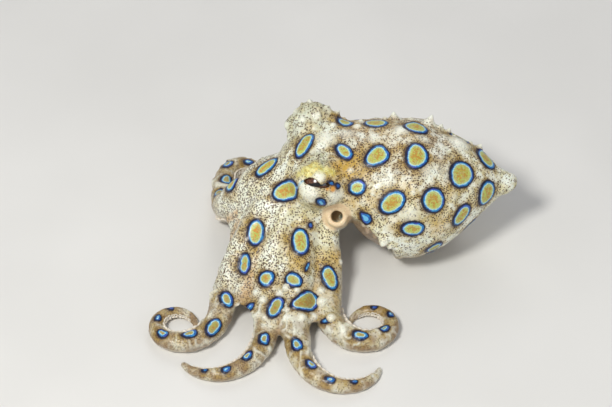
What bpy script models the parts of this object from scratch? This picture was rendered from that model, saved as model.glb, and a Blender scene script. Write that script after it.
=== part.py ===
# Greater blue-ringed octopus at life size, resting on its belly and eight arms.
# Lengths are in millimetres up to the last step, which scales them to metres.
# Frame while modelling: X runs from the arms (-) to the mantle tip (+), Z is up,
# and -Y is the animal's left side. At the end the box's bottom centre is moved
# to the origin.
#
# The animal is lofted whole, fused into one skin, and then parted by thin cuts
# into its named parts.

import math

import bmesh
import bpy
import numpy as np
from mathutils import Matrix, Vector
from mathutils.bvhtree import BVHTree

# ---------------------------------------------------------------- dimensions
GAP = 0.3  # between two parts

# mantle: a blunt egg with a pointed tip
MANTLE_TIP = 24.8  # X of the tip
MANTLE_R_SIDE = 17.0  # half width
MANTLE_R_UP = 16.0  # half height
MANTLE_Z = 15.85  # height of its axis
MANTLE_TAPER = 1.6  # exponent of the taper towards the tip
MANTLE_TIP_RISE = 1.8  # how far the tip lies above the axis
MANTLE_FRONT = -20.0  # X where the mantle has run into the head
NECK_X = -14.5  # cut between mantle and head

# head and eyes
HEAD_C = (-22.5, -0.3, 20.6)
HEAD_R = (9.6, 11.6, 10.7)
BULGE_L = (-21.8, -8.0, 24.6)
BULGE_R = (-22.8, 7.5, 27.2)
BULGE_RADIUS = (6.0, 5.7, 5.7)
EYE_RADIUS = 4.1
EYE_L = (-22.3, -9.4, 26.0)
EYE_R = (-23.0, 9.1, 28.0)

# funnel: a short tube under the left eye
FUNNEL_TIP = (-17.8, -12.6, 18.3)
FUNNEL_DIR = (-0.05, -0.76, 0.65)
FUNNEL_LENGTH = 7.0
FUNNEL_R_TIP = 2.6
FUNNEL_R_BASE = 3.6
FUNNEL_HOLE = 1.3
FUNNEL_DEPTH = 4.5

# crown, the disc that the arms grow from, tilted forward
CROWN_C = (-26.0, -2.0, 16.0)
CROWN_N = (-0.50, -0.08, -0.86)  # points out of the mouth
CROWN_RING = 6.0
CROWN_R = (9.5, 9.5, 6.0)

# shoulder, which fills in before the head, over the front arms
SHOULDER_C = (-32.0, -0.5, 17.5)
SHOULDER_R = (7.5, 7.5, 6.0)

# bowl-shaped cut between the head and the arms
BOWL_APEX = (-25.5, -1.5, 5.6)
BOWL_RISE = 18.0

# arms: name, ring angle, heading at the crown and on the floor, length to the
# floor, length to the start of the curl, whole length, curl
ARMS = (
    ("arm_r1", 172.0, 182.0, 90.0, 29.0, 33.0, 57.0, -320.0),
    ("arm_l1", 212.0, 226.0, 256.0, 36.0, 32.0, 70.0, -350.0),
    ("arm_l2", 244.0, 250.0, 268.0, 34.0, 29.0, 60.0, -150.0),
    ("arm_l3", 276.0, 262.0, 272.0, 36.0, 31.0, 63.0, 170.0),
    ("arm_l4", 312.0, 281.0, 270.0, 26.0, 22.0, 62.0, 345.0),
    ("arm_r4", 42.0, 80.0, -15.0, 36.0, 38.0, 72.0, 345.0),
    ("arm_r3", 80.0, 56.0, 68.0, 30.0, 28.0, 49.0, -290.0),
    ("arm_r2", 122.0, 93.0, 91.0, 24.0, 20.0, 44.5, -312.0),
)
ARM_R_BASE = 4.3
ARM_R_TIP = 0.6
ARM_TAPER = 0.75
ARM_FLAT = 0.25  # how far an arm's sole is pressed flat
CURL_GROWTH = 1.5
DROP = 1.3  # exponent of the arm's way down to the floor
ARM_HUMP = {"arm_r1": 1.0, "arm_l1": 0.25}  # how far an arm keeps high at first
STEP = 0.5  # along an arm

# webs between neighbouring arms: depth beside the arms, its loss half way, and
# how far out the parting cut between the two arms runs
WEBS = {
    ("arm_r1", "arm_l1"): (27.0, 7.0, 32.0),
    ("arm_l1", "arm_l2"): (33.0, 4.0, 40.0),
    ("arm_l2", "arm_l3"): (35.0, 2.5, 42.0),
    ("arm_l3", "arm_l4"): (32.0, 3.5, 40.0),
    ("arm_l4", "arm_r4"): (11.0, 3.0, 21.0),
    ("arm_r4", "arm_r3"): (20.0, 4.0, 34.0),
    ("arm_r3", "arm_r2"): (22.0, 6.0, 30.0),
    ("arm_r2", "arm_r1"): (23.0, 7.0, 30.0),
}
WEB_THICK = 1.5

VOXEL = 0.6
WHOLE_TRIANGLES = 4000


# ---------------------------------------------------------------- curves
def arm_radius(s, length):
    t = np.clip(np.asarray(s, float) / length, 0, 1)
    return ARM_R_BASE * (1 - t) ** ARM_TAPER + ARM_R_TIP * t


def ease(t):
    t = np.clip(t, 0, 1)
    return t * t * (3 - 2 * t)


def crown_point(angle):
    """Where an arm starts: on a ring about the crown's centre, in its tilted plane."""
    n = np.array(CROWN_N) / np.linalg.norm(CROWN_N)
    flat = np.array([math.cos(angle), math.sin(angle), 0.0])
    lift = -(flat @ n) / n[2]
    along = flat + np.array([0, 0, lift])
    return np.array(CROWN_C) + CROWN_RING * along / np.linalg.norm(along)


def arm_path(row):
    """Arc lengths, centreline points and radii of one arm."""
    _, ring, first, floor, reach, turn_from, length, curl = row
    s = np.arange(0, length + STEP / 2, STEP)
    r = arm_radius(s, length)
    start = crown_point(math.radians(ring))
    lying = r - ARM_FLAT
    t = np.clip(s / reach, 0, 1)
    high = ARM_HUMP.get(row[0], 0.0)
    down = (1 - high) * (1 - t) ** DROP + high * (1 - ease(t))
    z = lying + (start[2] - lying[0]) * down
    turn = np.clip((s - turn_from) / (length - turn_from), 0, 1)
    heading = np.radians(
        first + (floor - first) * ease(s / reach) + curl * turn**CURL_GROWTH
    )
    dz = np.gradient(z, s)
    flat = np.sqrt(np.clip(1 - dz**2, 0.05, 1)) * STEP
    x = start[0] + np.concatenate([[0], np.cumsum(flat[:-1] * np.cos(heading[:-1]))])
    y = start[1] + np.concatenate([[0], np.cumsum(flat[:-1] * np.sin(heading[:-1]))])
    return s, np.stack([x, y, z], axis=1), r


# ---------------------------------------------------------------- mesh helpers
def loft(bm, rings):
    """A closed body through rings of equally many points, with fans at its ends."""
    rows = [[bm.verts.new(p) for p in ring] for ring in rings]
    n = len(rows[0])
    for a, b in zip(rows, rows[1:]):
        for i in range(n):
            bm.faces.new((a[i], a[(i + 1) % n], b[(i + 1) % n], b[i]))
    for row, flip in ((rows[0], True), (rows[-1], False)):
        middle = bm.verts.new(sum((v.co for v in row), Vector()) / n)
        for i in range(n):
            a, b = row[i], row[(i + 1) % n]
            bm.faces.new((b, a, middle) if flip else (a, b, middle))


def ellipsoid(bm, centre, radii, matrix=None, u=32, v=20):
    place = Matrix.Translation(centre)
    if matrix is not None:
        place = place @ matrix
    place = place @ Matrix.Diagonal((*radii, 1.0))
    bmesh.ops.create_uvsphere(
        bm, u_segments=u, v_segments=v, radius=1.0, matrix=place
    )


def frame_from(direction):
    """A rotation whose Z axis is the direction."""
    return Vector(direction).normalized().to_track_quat("Z", "Y").to_matrix().to_4x4()


def object_of(name, bm):
    bmesh.ops.recalc_face_normals(bm, faces=bm.faces)
    mesh = bpy.data.meshes.new(name)
    bm.to_mesh(mesh)
    bm.free()
    obj = bpy.data.objects.new(name, mesh)
    bpy.context.scene.collection.objects.link(obj)
    return obj


def apply_modifiers(obj):
    graph = bpy.context.evaluated_depsgraph_get()
    mesh = bpy.data.meshes.new_from_object(obj.evaluated_get(graph))
    old = obj.data
    obj.modifiers.clear()
    obj.data = mesh
    bpy.data.meshes.remove(old)


def cut(obj, cutter, operation="DIFFERENCE"):
    modifier = obj.modifiers.new("cut", "BOOLEAN")
    modifier.operation = operation
    modifier.solver = "MANIFOLD"
    modifier.object = cutter
    apply_modifiers(obj)
    bpy.data.objects.remove(cutter)


# ---------------------------------------------------------------- body shapes
def mantle_section(x):
    """Centre and half sizes of the mantle across X."""
    if x >= 0:
        t = x / MANTLE_TIP
        k = max(1 - t**MANTLE_TAPER, 0.0)
        k = math.sqrt(k * k + 0.004) - math.sqrt(0.004) * t
        rise = MANTLE_TIP_RISE * ease((x - 6) / 12)
        return (0.0, MANTLE_Z + float(rise)), MANTLE_R_SIDE * k, MANTLE_R_UP * k
    t = x / MANTLE_FRONT
    side = MANTLE_R_SIDE * (1 - 0.45 * t**2.6)
    bottom = 0.0 - 0.15 + 23.0 * t**3.2
    top = MANTLE_Z + MANTLE_R_UP - 0.8 * t**2
    return (0.7 * t**2, (top + bottom) / 2), side, (top - bottom) / 2


def add_mantle(bm):
    stations = np.concatenate(
        [np.linspace(MANTLE_FRONT, 0, 12), MANTLE_TIP * np.linspace(0.06, 0.985, 18)]
    )
    rings = []
    for x in stations:
        (cy, cz), ry, rz = mantle_section(float(x))
        rings.append(
            [
                Vector((x, cy + ry * math.cos(a), cz + rz * math.sin(a)))
                for a in np.linspace(0, 2 * math.pi, 40, endpoint=False)
            ]
        )
    loft(bm, rings)


def add_arm(bm, path):
    s, points, r = path
    tangents = np.gradient(points, axis=0)
    rings = []
    for i in range(0, len(s), 2):
        t = Vector(tangents[i]).normalized()
        side = t.cross(Vector((0, 0, 1))).normalized()
        up = side.cross(t)
        c = Vector(points[i])
        rings.append(
            [
                c + side * float(r[i]) * math.cos(a) + up * float(r[i]) * math.sin(a)
                for a in np.linspace(0, 2 * math.pi, 16, endpoint=False)
            ]
        )
    loft(bm, rings)


def add_web(bm, a, b, depth, loss):
    """A closed sheet spanned between two neighbouring arms, high on their sides."""
    rows, cols = 14, 9
    top = []
    for j in range(cols):
        u = j / (cols - 1)
        end = depth - loss * math.sin(math.pi * u)
        line = []
        for i in range(rows):
            k = end * i / (rows - 1) / STEP
            lo = int(k)
            f = k - lo
            pa = a[1][lo] * (1 - f) + a[1][lo + 1] * f
            pb = b[1][lo] * (1 - f) + b[1][lo + 1] * f
            ra, rb = a[2][lo], b[2][lo]
            p = pa * (1 - u) + pb * u
            lift = 0.45 * (ra * (1 - u) + rb * u)
            line.append(Vector(p) + Vector((0, 0, float(lift))))
        top.append(line)
    upper, lower = [], []
    for j in range(cols):
        up_line, low_line = [], []
        for i in range(rows):
            du = top[min(j + 1, cols - 1)][i] - top[max(j - 1, 0)][i]
            dv = top[j][min(i + 1, rows - 1)] - top[j][max(i - 1, 0)]
            n = du.cross(dv)
            n = n.normalized() if n.length > 1e-6 else Vector((0, 0, 1))
            if n.z < 0:
                n = -n
            up_line.append(bm.verts.new(top[j][i] + n * WEB_THICK / 2))
            low_line.append(bm.verts.new(top[j][i] - n * WEB_THICK / 2))
        upper.append(up_line)
        lower.append(low_line)
    for j in range(cols - 1):
        for i in range(rows - 1):
            bm.faces.new(
                (upper[j][i], upper[j + 1][i], upper[j + 1][i + 1], upper[j][i + 1])
            )
            bm.faces.new(
                (lower[j][i], lower[j][i + 1], lower[j + 1][i + 1], lower[j + 1][i])
            )
    for i in range(rows - 1):
        bm.faces.new((upper[0][i], upper[0][i + 1], lower[0][i + 1], lower[0][i]))
        bm.faces.new((upper[-1][i], lower[-1][i], lower[-1][i + 1], upper[-1][i + 1]))
    for j in range(cols - 1):
        bm.faces.new((upper[j][0], lower[j][0], lower[j + 1][0], upper[j + 1][0]))
        bm.faces.new((upper[j][-1], upper[j + 1][-1], lower[j + 1][-1], lower[j][-1]))


def funnel_rings(radius_more, front_more):
    """Rings of the funnel's outside, grown for the cut that makes room for it."""
    place = Matrix.Translation(FUNNEL_TIP) @ frame_from(FUNNEL_DIR)
    rings = []
    for k in np.linspace(0, 1, 4):
        r = FUNNEL_R_TIP + (FUNNEL_R_BASE - FUNNEL_R_TIP) * k + radius_more
        z = front_more - (FUNNEL_LENGTH + front_more + radius_more) * k
        rings.append(
            [
                place @ Vector((r * math.cos(a), r * math.sin(a), z))
                for a in np.linspace(0, 2 * math.pi, 14, endpoint=False)
            ]
        )
    return rings


# ---------------------------------------------------------------- cutters
def slab(centre, normal, half):
    """A thin square plate across the normal."""
    bm = bmesh.new()
    bmesh.ops.create_cube(
        bm,
        size=1.0,
        matrix=Matrix.Translation(centre)
        @ frame_from(normal)
        @ Matrix.Diagonal((2 * half, 2 * half, GAP, 1.0)),
    )
    return object_of("cutter", bm)


def bowl_flare(angle):
    """The bowl's run for each millimetre of rise: steepest in front, flat at the neck."""
    c = math.cos(angle)
    return 1 - 0.2 * c * c if c < 0 else 1 + 1.2 * c**1.5


def bowl_z(x, y):
    """Height of the bowl that the head sits in, above its arms."""
    dx, dy = x - BOWL_APEX[0], y - BOWL_APEX[1]
    return BOWL_APEX[2] + math.hypot(dx, dy) / bowl_flare(math.atan2(dy, dx))


def bowl_cutter():
    """A thin bowl between the head and the arms, ending in the neck's cut."""
    bm = bmesh.new()
    around, out, half = 24, 5, GAP * 0.72
    sheets = []
    for lift in (-half, half):
        middle = bm.verts.new((*BOWL_APEX[:2], BOWL_APEX[2] + lift))
        rings = []
        for j in range(1, out + 1):
            ring = []
            for i in range(around):
                angle = 2 * math.pi * i / around
                reach = BOWL_RISE * bowl_flare(angle)
                if math.cos(angle) > 0:
                    to_neck = (NECK_X + 0.05 - BOWL_APEX[0]) / math.cos(angle)
                    reach = min(reach, to_neck)
                x = BOWL_APEX[0] + reach * j / out * math.cos(angle)
                y = BOWL_APEX[1] + reach * j / out * math.sin(angle)
                ring.append(bm.verts.new((x, y, bowl_z(x, y) + lift)))
            rings.append(ring)
        for i in range(around):
            k = (i + 1) % around
            bm.faces.new((middle, rings[0][i], rings[0][k]))
            for inner, outer in zip(rings, rings[1:]):
                bm.faces.new((inner[i], outer[i], outer[k], inner[k]))
        sheets.append(rings[-1])
    for i in range(around):
        k = (i + 1) % around
        bm.faces.new((sheets[0][i], sheets[0][k], sheets[1][k], sheets[1][i]))
    return object_of("cutter", bm)


def wall_cutter(a, b, depth):
    """A thin upright wall from the crown's centre out between two arms."""
    out = int(depth / STEP)
    line = [np.array(BOWL_APEX[:2])]
    for k in range(8, out, 8):
        line.append((a[1][k][:2] + b[1][k][:2]) / 2)
    line = np.array(line)
    ways = np.gradient(line, axis=0)
    ways /= np.linalg.norm(ways, axis=1)[:, None]
    bm = bmesh.new()
    rows = []
    for p, w in zip(line, ways):
        side = np.array([-w[1], w[0]]) * GAP / 2
        row = []
        for q, up in ((p + side, 0), (p - side, 0), (p - side, 1), (p + side, 1)):
            z = bowl_z(q[0], q[1]) if up else -2.0
            row.append(Vector((q[0], q[1], z)))
        rows.append(row)
    loft(bm, rows)
    return object_of("cutter", bm)


# ---------------------------------------------------------------- build
for old in list(bpy.data.objects):
    bpy.data.objects.remove(old)

paths = {row[0]: arm_path(row) for row in ARMS}
rows = {row[0]: row for row in ARMS}

bm = bmesh.new()
add_mantle(bm)
ellipsoid(bm, HEAD_C, HEAD_R)
ellipsoid(bm, BULGE_L, BULGE_RADIUS)
ellipsoid(bm, BULGE_R, BULGE_RADIUS)
ellipsoid(bm, CROWN_C, CROWN_R, frame_from(CROWN_N))
ellipsoid(bm, SHOULDER_C, SHOULDER_R)
for path in paths.values():
    add_arm(bm, path)
for (a, b), (depth, loss, _) in WEBS.items():
    add_web(bm, paths[a], paths[b], depth, loss)
whole = object_of("whole", bm)

remesh = whole.modifiers.new("fuse", "REMESH")
remesh.mode = "VOXEL"
remesh.voxel_size = VOXEL
remesh.adaptivity = 0.0
smooth = whole.modifiers.new("smooth", "SMOOTH")
smooth.factor = 0.5
smooth.iterations = 8
apply_modifiers(whole)
bm = bmesh.new()
bm.from_mesh(whole.data)
bmesh.ops.triangulate(bm, faces=bm.faces)
bm.to_mesh(whole.data)
bm.free()
thin = whole.modifiers.new("thin", "DECIMATE")
thin.ratio = WHOLE_TRIANGLES / len(whole.data.polygons)
apply_modifiers(whole)

# the floor presses small flats on the belly and the arms
bm = bmesh.new()
bmesh.ops.create_cube(
    bm,
    size=1.0,
    matrix=Matrix.Translation((-10, 0, -10)) @ Matrix.Diagonal((200, 200, 20, 1)),
)
cut(whole, object_of("cutter", bm))

# sockets for the eyes and the funnel
for centre in (EYE_L, EYE_R):
    bm = bmesh.new()
    ellipsoid(bm, centre, (EYE_RADIUS + GAP,) * 3, u=14, v=9)
    cut(whole, object_of("cutter", bm))
bm = bmesh.new()
loft(bm, funnel_rings(GAP, 2.0))
cut(whole, object_of("cutter", bm))

# parting cuts: neck, bowl, webs, and two across each arm
bm = bmesh.new()
bmesh.ops.create_cube(
    bm,
    size=1.0,
    matrix=Matrix.Translation((NECK_X, 0.5, 22.0)) @ Matrix.Diagonal((GAP, 32, 44, 1)),
)
cut(whole, object_of("cutter", bm))
cut(whole, bowl_cutter())
for (a, b), (_, _, parting) in WEBS.items():
    cut(whole, wall_cutter(paths[a], paths[b], parting))
references = {}
for name, (s, points, r) in paths.items():
    reach, length = rows[name][4], rows[name][6]
    first, second = reach + 4.0, reach + 4.0 + (length - reach - 4.0) * 0.42
    for at in (first, second):
        k = int(round(at / STEP))
        way = points[k + 1] - points[k - 1]
        cut(whole, slab(Vector(points[k]), way, float(r[k]) + 0.9))
    for part, at in (
        ("base", reach * 0.8),
        ("mid", (first + second) / 2),
        ("tip", (second + length) / 2),
    ):
        references[f"{name}_{part}"] = Vector(points[int(round(at / STEP))])
references["mantle"] = Vector((0.0, 0.0, MANTLE_Z))
references["head"] = Vector(HEAD_C)


# ---------------------------------------------------------------- name the parts
def loose_parts(mesh):
    bm = bmesh.new()
    bm.from_mesh(mesh)
    bm.faces.ensure_lookup_table()
    seen, found = set(), []
    for face in bm.faces:
        if face.index in seen:
            continue
        todo, part = [face], []
        seen.add(face.index)
        while todo:
            f = todo.pop()
            part.append(f)
            for edge in f.edges:
                for g in edge.link_faces:
                    if g.index not in seen:
                        seen.add(g.index)
                        todo.append(g)
        index, points, faces = {}, [], []
        for f in part:
            for v in f.verts:
                if v.index not in index:
                    index[v.index] = len(points)
                    points.append(v.co.copy())
            faces.append([index[v.index] for v in f.verts])
        found.append((points, faces))
    bm.free()
    return found


def volume_of(points, faces):
    total = 0.0
    for f in faces:
        for i in range(1, len(f) - 1):
            total += points[f[0]].dot(points[f[i]].cross(points[f[i + 1]])) / 6
    return total


pieces = []
for points, faces in loose_parts(whole.data):
    if abs(volume_of(points, faces)) > 0.5:
        pieces.append((points, faces, BVHTree.FromPolygons(points, faces)))


def holds(tree, point):
    hits, origin, way = 0, point.copy(), Vector((0.013, 0.021, 1.0)).normalized()
    while hits < 200:
        place, _, _, _ = tree.ray_cast(origin, way)
        if place is None:
            break
        hits += 1
        origin = place + way * 1e-4
    return hits % 2 == 1


def material(name, colour, roughness):
    mat = bpy.data.materials.new(name)
    mat.use_nodes = True
    shader = mat.node_tree.nodes["Principled BSDF"]
    shader.inputs["Base Color"].default_value = (*colour, 1.0)
    shader.inputs["Roughness"].default_value = roughness
    shader.inputs["Metallic"].default_value = 0.0
    return mat


SKIN = {
    "mantle": (0.62, 0.50, 0.30),
    "head": (0.66, 0.55, 0.36),
    "arm": (0.60, 0.50, 0.33),
    "funnel": (0.58, 0.42, 0.34),
    "eye": (0.12, 0.05, 0.03),
}

solids = {}
for name, point in references.items():
    inside = [p for p in pieces if holds(p[2], point)]
    if len(inside) != 1:
        raise RuntimeError(f"{name}: {len(inside)} bodies hold its reference point")
    if any(inside[0] is other for other in solids.values()):
        others = [k for k, v in solids.items() if v is inside[0]]
        raise RuntimeError(f"{name} shares its body with {others}")
    solids[name] = inside[0]
print("bodies found:", len(pieces), "named:", len(solids))

objects = []
for name, (points, faces, _) in solids.items():
    mesh = bpy.data.meshes.new(name)
    mesh.from_pydata(points, [], faces)
    obj = bpy.data.objects.new(name, mesh)
    bpy.context.scene.collection.objects.link(obj)
    objects.append(obj)
bpy.data.objects.remove(whole)

for name, centre in (("eye_left", EYE_L), ("eye_right", EYE_R)):
    bm = bmesh.new()
    ellipsoid(bm, centre, (EYE_RADIUS,) * 3, u=14, v=9)
    objects.append(object_of(name, bm))

# the funnel's tube, open at its tip
place = Matrix.Translation(FUNNEL_TIP) @ frame_from(FUNNEL_DIR)
bm = bmesh.new()
rings = funnel_rings(0.0, 0.0)[::-1]
for r, z in (
    (FUNNEL_R_TIP - 0.5, 0.35),
    (FUNNEL_HOLE + 0.3, 0.25),
    (FUNNEL_HOLE, -0.3),
    (FUNNEL_HOLE * 0.9, -FUNNEL_DEPTH),
):
    rings.append(
        [
            place @ Vector((r * math.cos(a), r * math.sin(a), z))
            for a in np.linspace(0, 2 * math.pi, 14, endpoint=False)
        ]
    )
loft(bm, rings)
objects.append(object_of("funnel", bm))

# origin at the bottom centre of the box, metres
low = np.full(3, np.inf)
high = np.full(3, -np.inf)
for obj in objects:
    for v in obj.data.vertices:
        low = np.minimum(low, v.co)
        high = np.maximum(high, v.co)
middle = Vector(((low[0] + high[0]) / 2, (low[1] + high[1]) / 2, low[2]))
to_metres = Matrix.Scale(0.001, 4) @ Matrix.Translation(-middle)
for obj in objects:
    obj.data.transform(to_metres)
    obj.data.update()
    kind = obj.name.split("_")[0]
    obj.data.materials.clear()
    obj.data.materials.append(
        material(obj.name, SKIN[kind], 0.2 if kind == "eye" else 0.45)
    )
    obj.data.shade_smooth()
print("box mm", low.round(2), high.round(2))
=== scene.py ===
import math

import bpy
import numpy as np
from mathutils import Matrix, Vector
from mathutils.bvhtree import BVHTree


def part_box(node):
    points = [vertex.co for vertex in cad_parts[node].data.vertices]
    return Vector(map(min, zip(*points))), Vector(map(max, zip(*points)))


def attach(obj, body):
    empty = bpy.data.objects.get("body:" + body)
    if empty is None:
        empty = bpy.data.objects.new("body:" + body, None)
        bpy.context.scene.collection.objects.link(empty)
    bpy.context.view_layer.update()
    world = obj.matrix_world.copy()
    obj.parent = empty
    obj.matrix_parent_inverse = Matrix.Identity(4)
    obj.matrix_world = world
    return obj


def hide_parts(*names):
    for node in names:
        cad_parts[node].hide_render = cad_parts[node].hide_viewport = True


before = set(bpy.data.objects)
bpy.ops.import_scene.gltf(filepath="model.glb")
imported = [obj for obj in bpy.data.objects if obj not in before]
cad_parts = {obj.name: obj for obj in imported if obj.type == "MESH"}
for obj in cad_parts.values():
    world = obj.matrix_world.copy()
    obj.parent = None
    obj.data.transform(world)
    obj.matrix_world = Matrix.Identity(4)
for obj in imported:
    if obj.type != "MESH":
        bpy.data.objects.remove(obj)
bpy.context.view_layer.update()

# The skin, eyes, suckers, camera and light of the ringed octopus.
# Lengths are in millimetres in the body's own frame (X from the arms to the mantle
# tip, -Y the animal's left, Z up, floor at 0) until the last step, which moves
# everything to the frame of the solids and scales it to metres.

# ---------------------------------------------------------------- dimensions
MANTLE_TIP = 24.8
MANTLE_R_SIDE = 17.0
MANTLE_R_UP = 16.0
MANTLE_Z = 15.85
MANTLE_TAPER = 1.6
MANTLE_TIP_RISE = 1.8
MANTLE_FRONT = -20.0

HEAD_C = (-22.5, -0.3, 20.6)
HEAD_R = (9.6, 11.6, 10.7)
BULGE_L = (-21.8, -8.0, 24.6)
BULGE_R = (-22.8, 7.5, 27.2)
BULGE_RADIUS = (6.0, 5.7, 5.7)
EYE_RADIUS = 4.1
EYE_L = np.array([-22.3, -9.4, 26.0])
EYE_R = np.array([-23.0, 9.1, 28.0])

FUNNEL_TIP = np.array([-17.8, -12.6, 18.3])
FUNNEL_DIR = np.array([-0.05, -0.76, 0.65])
FUNNEL_DIR = FUNNEL_DIR / np.linalg.norm(FUNNEL_DIR)
FUNNEL_LENGTH = 7.0
FUNNEL_R_TIP = 2.42
FUNNEL_R_BASE = 3.45
FUNNEL_HOLE = 1.3
FUNNEL_DEPTH = 4.5

CROWN_C = np.array([-26.0, -2.0, 16.0])
CROWN_N = np.array([-0.50, -0.08, -0.86])
CROWN_RING = 6.0
CROWN_R = (9.5, 9.5, 6.0)
SHOULDER_C = (-32.0, -0.5, 17.5)
SHOULDER_R = (7.5, 7.5, 6.0)

ARMS = (
    ("arm_r1", 172.0, 182.0, 90.0, 29.0, 33.0, 57.0, -320.0),
    ("arm_l1", 212.0, 226.0, 256.0, 36.0, 32.0, 70.0, -350.0),
    ("arm_l2", 244.0, 250.0, 268.0, 34.0, 29.0, 60.0, -150.0),
    ("arm_l3", 276.0, 262.0, 272.0, 36.0, 31.0, 63.0, 170.0),
    ("arm_l4", 312.0, 281.0, 270.0, 26.0, 22.0, 62.0, 345.0),
    ("arm_r4", 42.0, 80.0, -15.0, 36.0, 38.0, 72.0, 345.0),
    ("arm_r3", 80.0, 56.0, 68.0, 30.0, 28.0, 49.0, -290.0),
    ("arm_r2", 122.0, 93.0, 91.0, 24.0, 20.0, 44.5, -312.0),
)
ARM_R_BASE = 4.3
ARM_R_TIP = 0.6
ARM_TAPER = 0.75
ARM_FLAT = 0.25
CURL_GROWTH = 1.5
DROP = 1.3
ARM_HUMP = {"arm_r1": 1.0, "arm_l1": 0.25}
STEP = 0.5
WEBS = {
    ("arm_r1", "arm_l1"): (27.0, 7.0),
    ("arm_l1", "arm_l2"): (33.0, 4.0),
    ("arm_l2", "arm_l3"): (35.0, 2.5),
    ("arm_l3", "arm_l4"): (32.0, 3.5),
    ("arm_l4", "arm_r4"): (11.0, 3.0),
    ("arm_r4", "arm_r3"): (20.0, 4.0),
    ("arm_r3", "arm_r2"): (22.0, 6.0),
    ("arm_r2", "arm_r1"): (23.0, 7.0),
}
WEB_THICK = 1.3

GRID = 0.34
GRID_LOW = np.array([-63.4, -54.6, -1.3])
GRID_HIGH = np.array([26.8, 34.6, 35.6])

# view of the photograph: pixels to a plane through the body, and its direction
MM_PER_PX = 0.24
VIEW_PX = (410.0, 236.0)
FRAME_PX = (612.0, 407.0)
ELEVATION = math.radians(43.0)
DISTANCE = 700.0
RIGHT = np.array([1.0, 0.0, 0.0])
UP = np.array([0.0, math.sin(ELEVATION), math.cos(ELEVATION)])
FORWARD = np.array([0.0, math.cos(ELEVATION), -math.sin(ELEVATION)])
TARGET = (
    RIGHT * (FRAME_PX[0] / 2 - VIEW_PX[0]) * MM_PER_PX
    + UP * (VIEW_PX[1] - FRAME_PX[1] / 2) * MM_PER_PX
)
CAMERA = TARGET - FORWARD * DISTANCE


# ---------------------------------------------------------------- small tools
def ease(t):
    t = np.clip(t, 0, 1)
    return t * t * (3 - 2 * t)


def unit(v):
    v = np.asarray(v, float)
    return v / np.linalg.norm(v)


def lattice_noise(p, seed):
    """Smooth noise from 0 to 1 at points p, one lump for each unit of length."""
    table = np.random.default_rng(seed).random((32, 32, 32)).astype(np.float32)
    base = np.floor(p).astype(np.int64)
    f = (p - base).astype(np.float32)
    f = f * f * (3 - 2 * f)
    out = 0
    for dx in (0, 1):
        wx = f[:, 0] if dx else 1 - f[:, 0]
        for dy in (0, 1):
            wy = f[:, 1] if dy else 1 - f[:, 1]
            for dz in (0, 1):
                wz = f[:, 2] if dz else 1 - f[:, 2]
                i = (base + (dx, dy, dz)) % 32
                out = out + wx * wy * wz * table[i[:, 0], i[:, 1], i[:, 2]]
    return out


def ray_of_pixel(px, py):
    """Origin and direction of the camera's ray through a pixel of the photograph."""
    on = (
        TARGET
        + RIGHT * (px - FRAME_PX[0] / 2) * MM_PER_PX
        + UP * (FRAME_PX[1] / 2 - py) * MM_PER_PX
    )
    return CAMERA, unit(on - CAMERA)


# ---------------------------------------------------------------- arm curves
def arm_radius(s, length):
    t = np.clip(np.asarray(s, float) / length, 0, 1)
    return ARM_R_BASE * (1 - t) ** ARM_TAPER + ARM_R_TIP * t


def crown_point(angle):
    n = unit(CROWN_N)
    flat = np.array([math.cos(angle), math.sin(angle), 0.0])
    along = flat + np.array([0, 0, -(flat @ n) / n[2]])
    return CROWN_C + CROWN_RING * unit(along)


def arm_path(row):
    _, ring, first, floor, reach, turn_from, length, curl = row
    s = np.arange(0, length + STEP / 2, STEP)
    r = arm_radius(s, length)
    start = crown_point(math.radians(ring))
    lying = r - ARM_FLAT
    t = np.clip(s / reach, 0, 1)
    high = ARM_HUMP.get(row[0], 0.0)
    down = (1 - high) * (1 - t) ** DROP + high * (1 - ease(t))
    z = lying + (start[2] - lying[0]) * down
    turn = np.clip((s - turn_from) / (length - turn_from), 0, 1)
    heading = np.radians(
        first + (floor - first) * ease(s / reach) + curl * turn**CURL_GROWTH
    )
    dz = np.gradient(z, s)
    flat = np.sqrt(np.clip(1 - dz**2, 0.05, 1)) * STEP
    x = start[0] + np.concatenate([[0], np.cumsum(flat[:-1] * np.cos(heading[:-1]))])
    y = start[1] + np.concatenate([[0], np.cumsum(flat[:-1] * np.sin(heading[:-1]))])
    return s, np.stack([x, y, z], axis=1), r


paths = {row[0]: arm_path(row) for row in ARMS}
rows = {row[0]: row for row in ARMS}


def arm_frames(path):
    """Forward, side and up directions along an arm."""
    t = np.gradient(path[1], axis=0)
    t /= np.linalg.norm(t, axis=1)[:, None]
    side = np.cross(t, [0, 0, 1.0])
    side /= np.linalg.norm(side, axis=1)[:, None]
    return t, side, np.cross(side, t)


# ---------------------------------------------------------------- signed field
SHAPE = tuple(int(n) for n in np.ceil((GRID_HIGH - GRID_LOW) / GRID) + 1)
AXES = [
    (GRID_LOW[k] + GRID * np.arange(SHAPE[k])).astype(np.float32) for k in range(3)
]


def window(low, high):
    """Slices of the grid that hold a box, and its coordinates."""
    cut, at = [], []
    for k in range(3):
        a = max(int(math.floor((low[k] - GRID_LOW[k]) / GRID)), 0)
        b = min(int(math.ceil((high[k] - GRID_LOW[k]) / GRID)) + 1, SHAPE[k])
        cut.append(slice(a, b))
        shape = [1, 1, 1]
        shape[k] = -1
        at.append(AXES[k][a:b].reshape(shape))
    return tuple(cut), at


def soft_min(a, b, k):
    h = np.clip(0.5 + 0.5 * (b - a) / k, 0, 1)
    return b * (1 - h) + a * h - k * h * (1 - h)


def soft_max(a, b, k):
    return -soft_min(-a, -b, k)


def new_field():
    return np.full(SHAPE, 9.0, np.float32)


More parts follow.
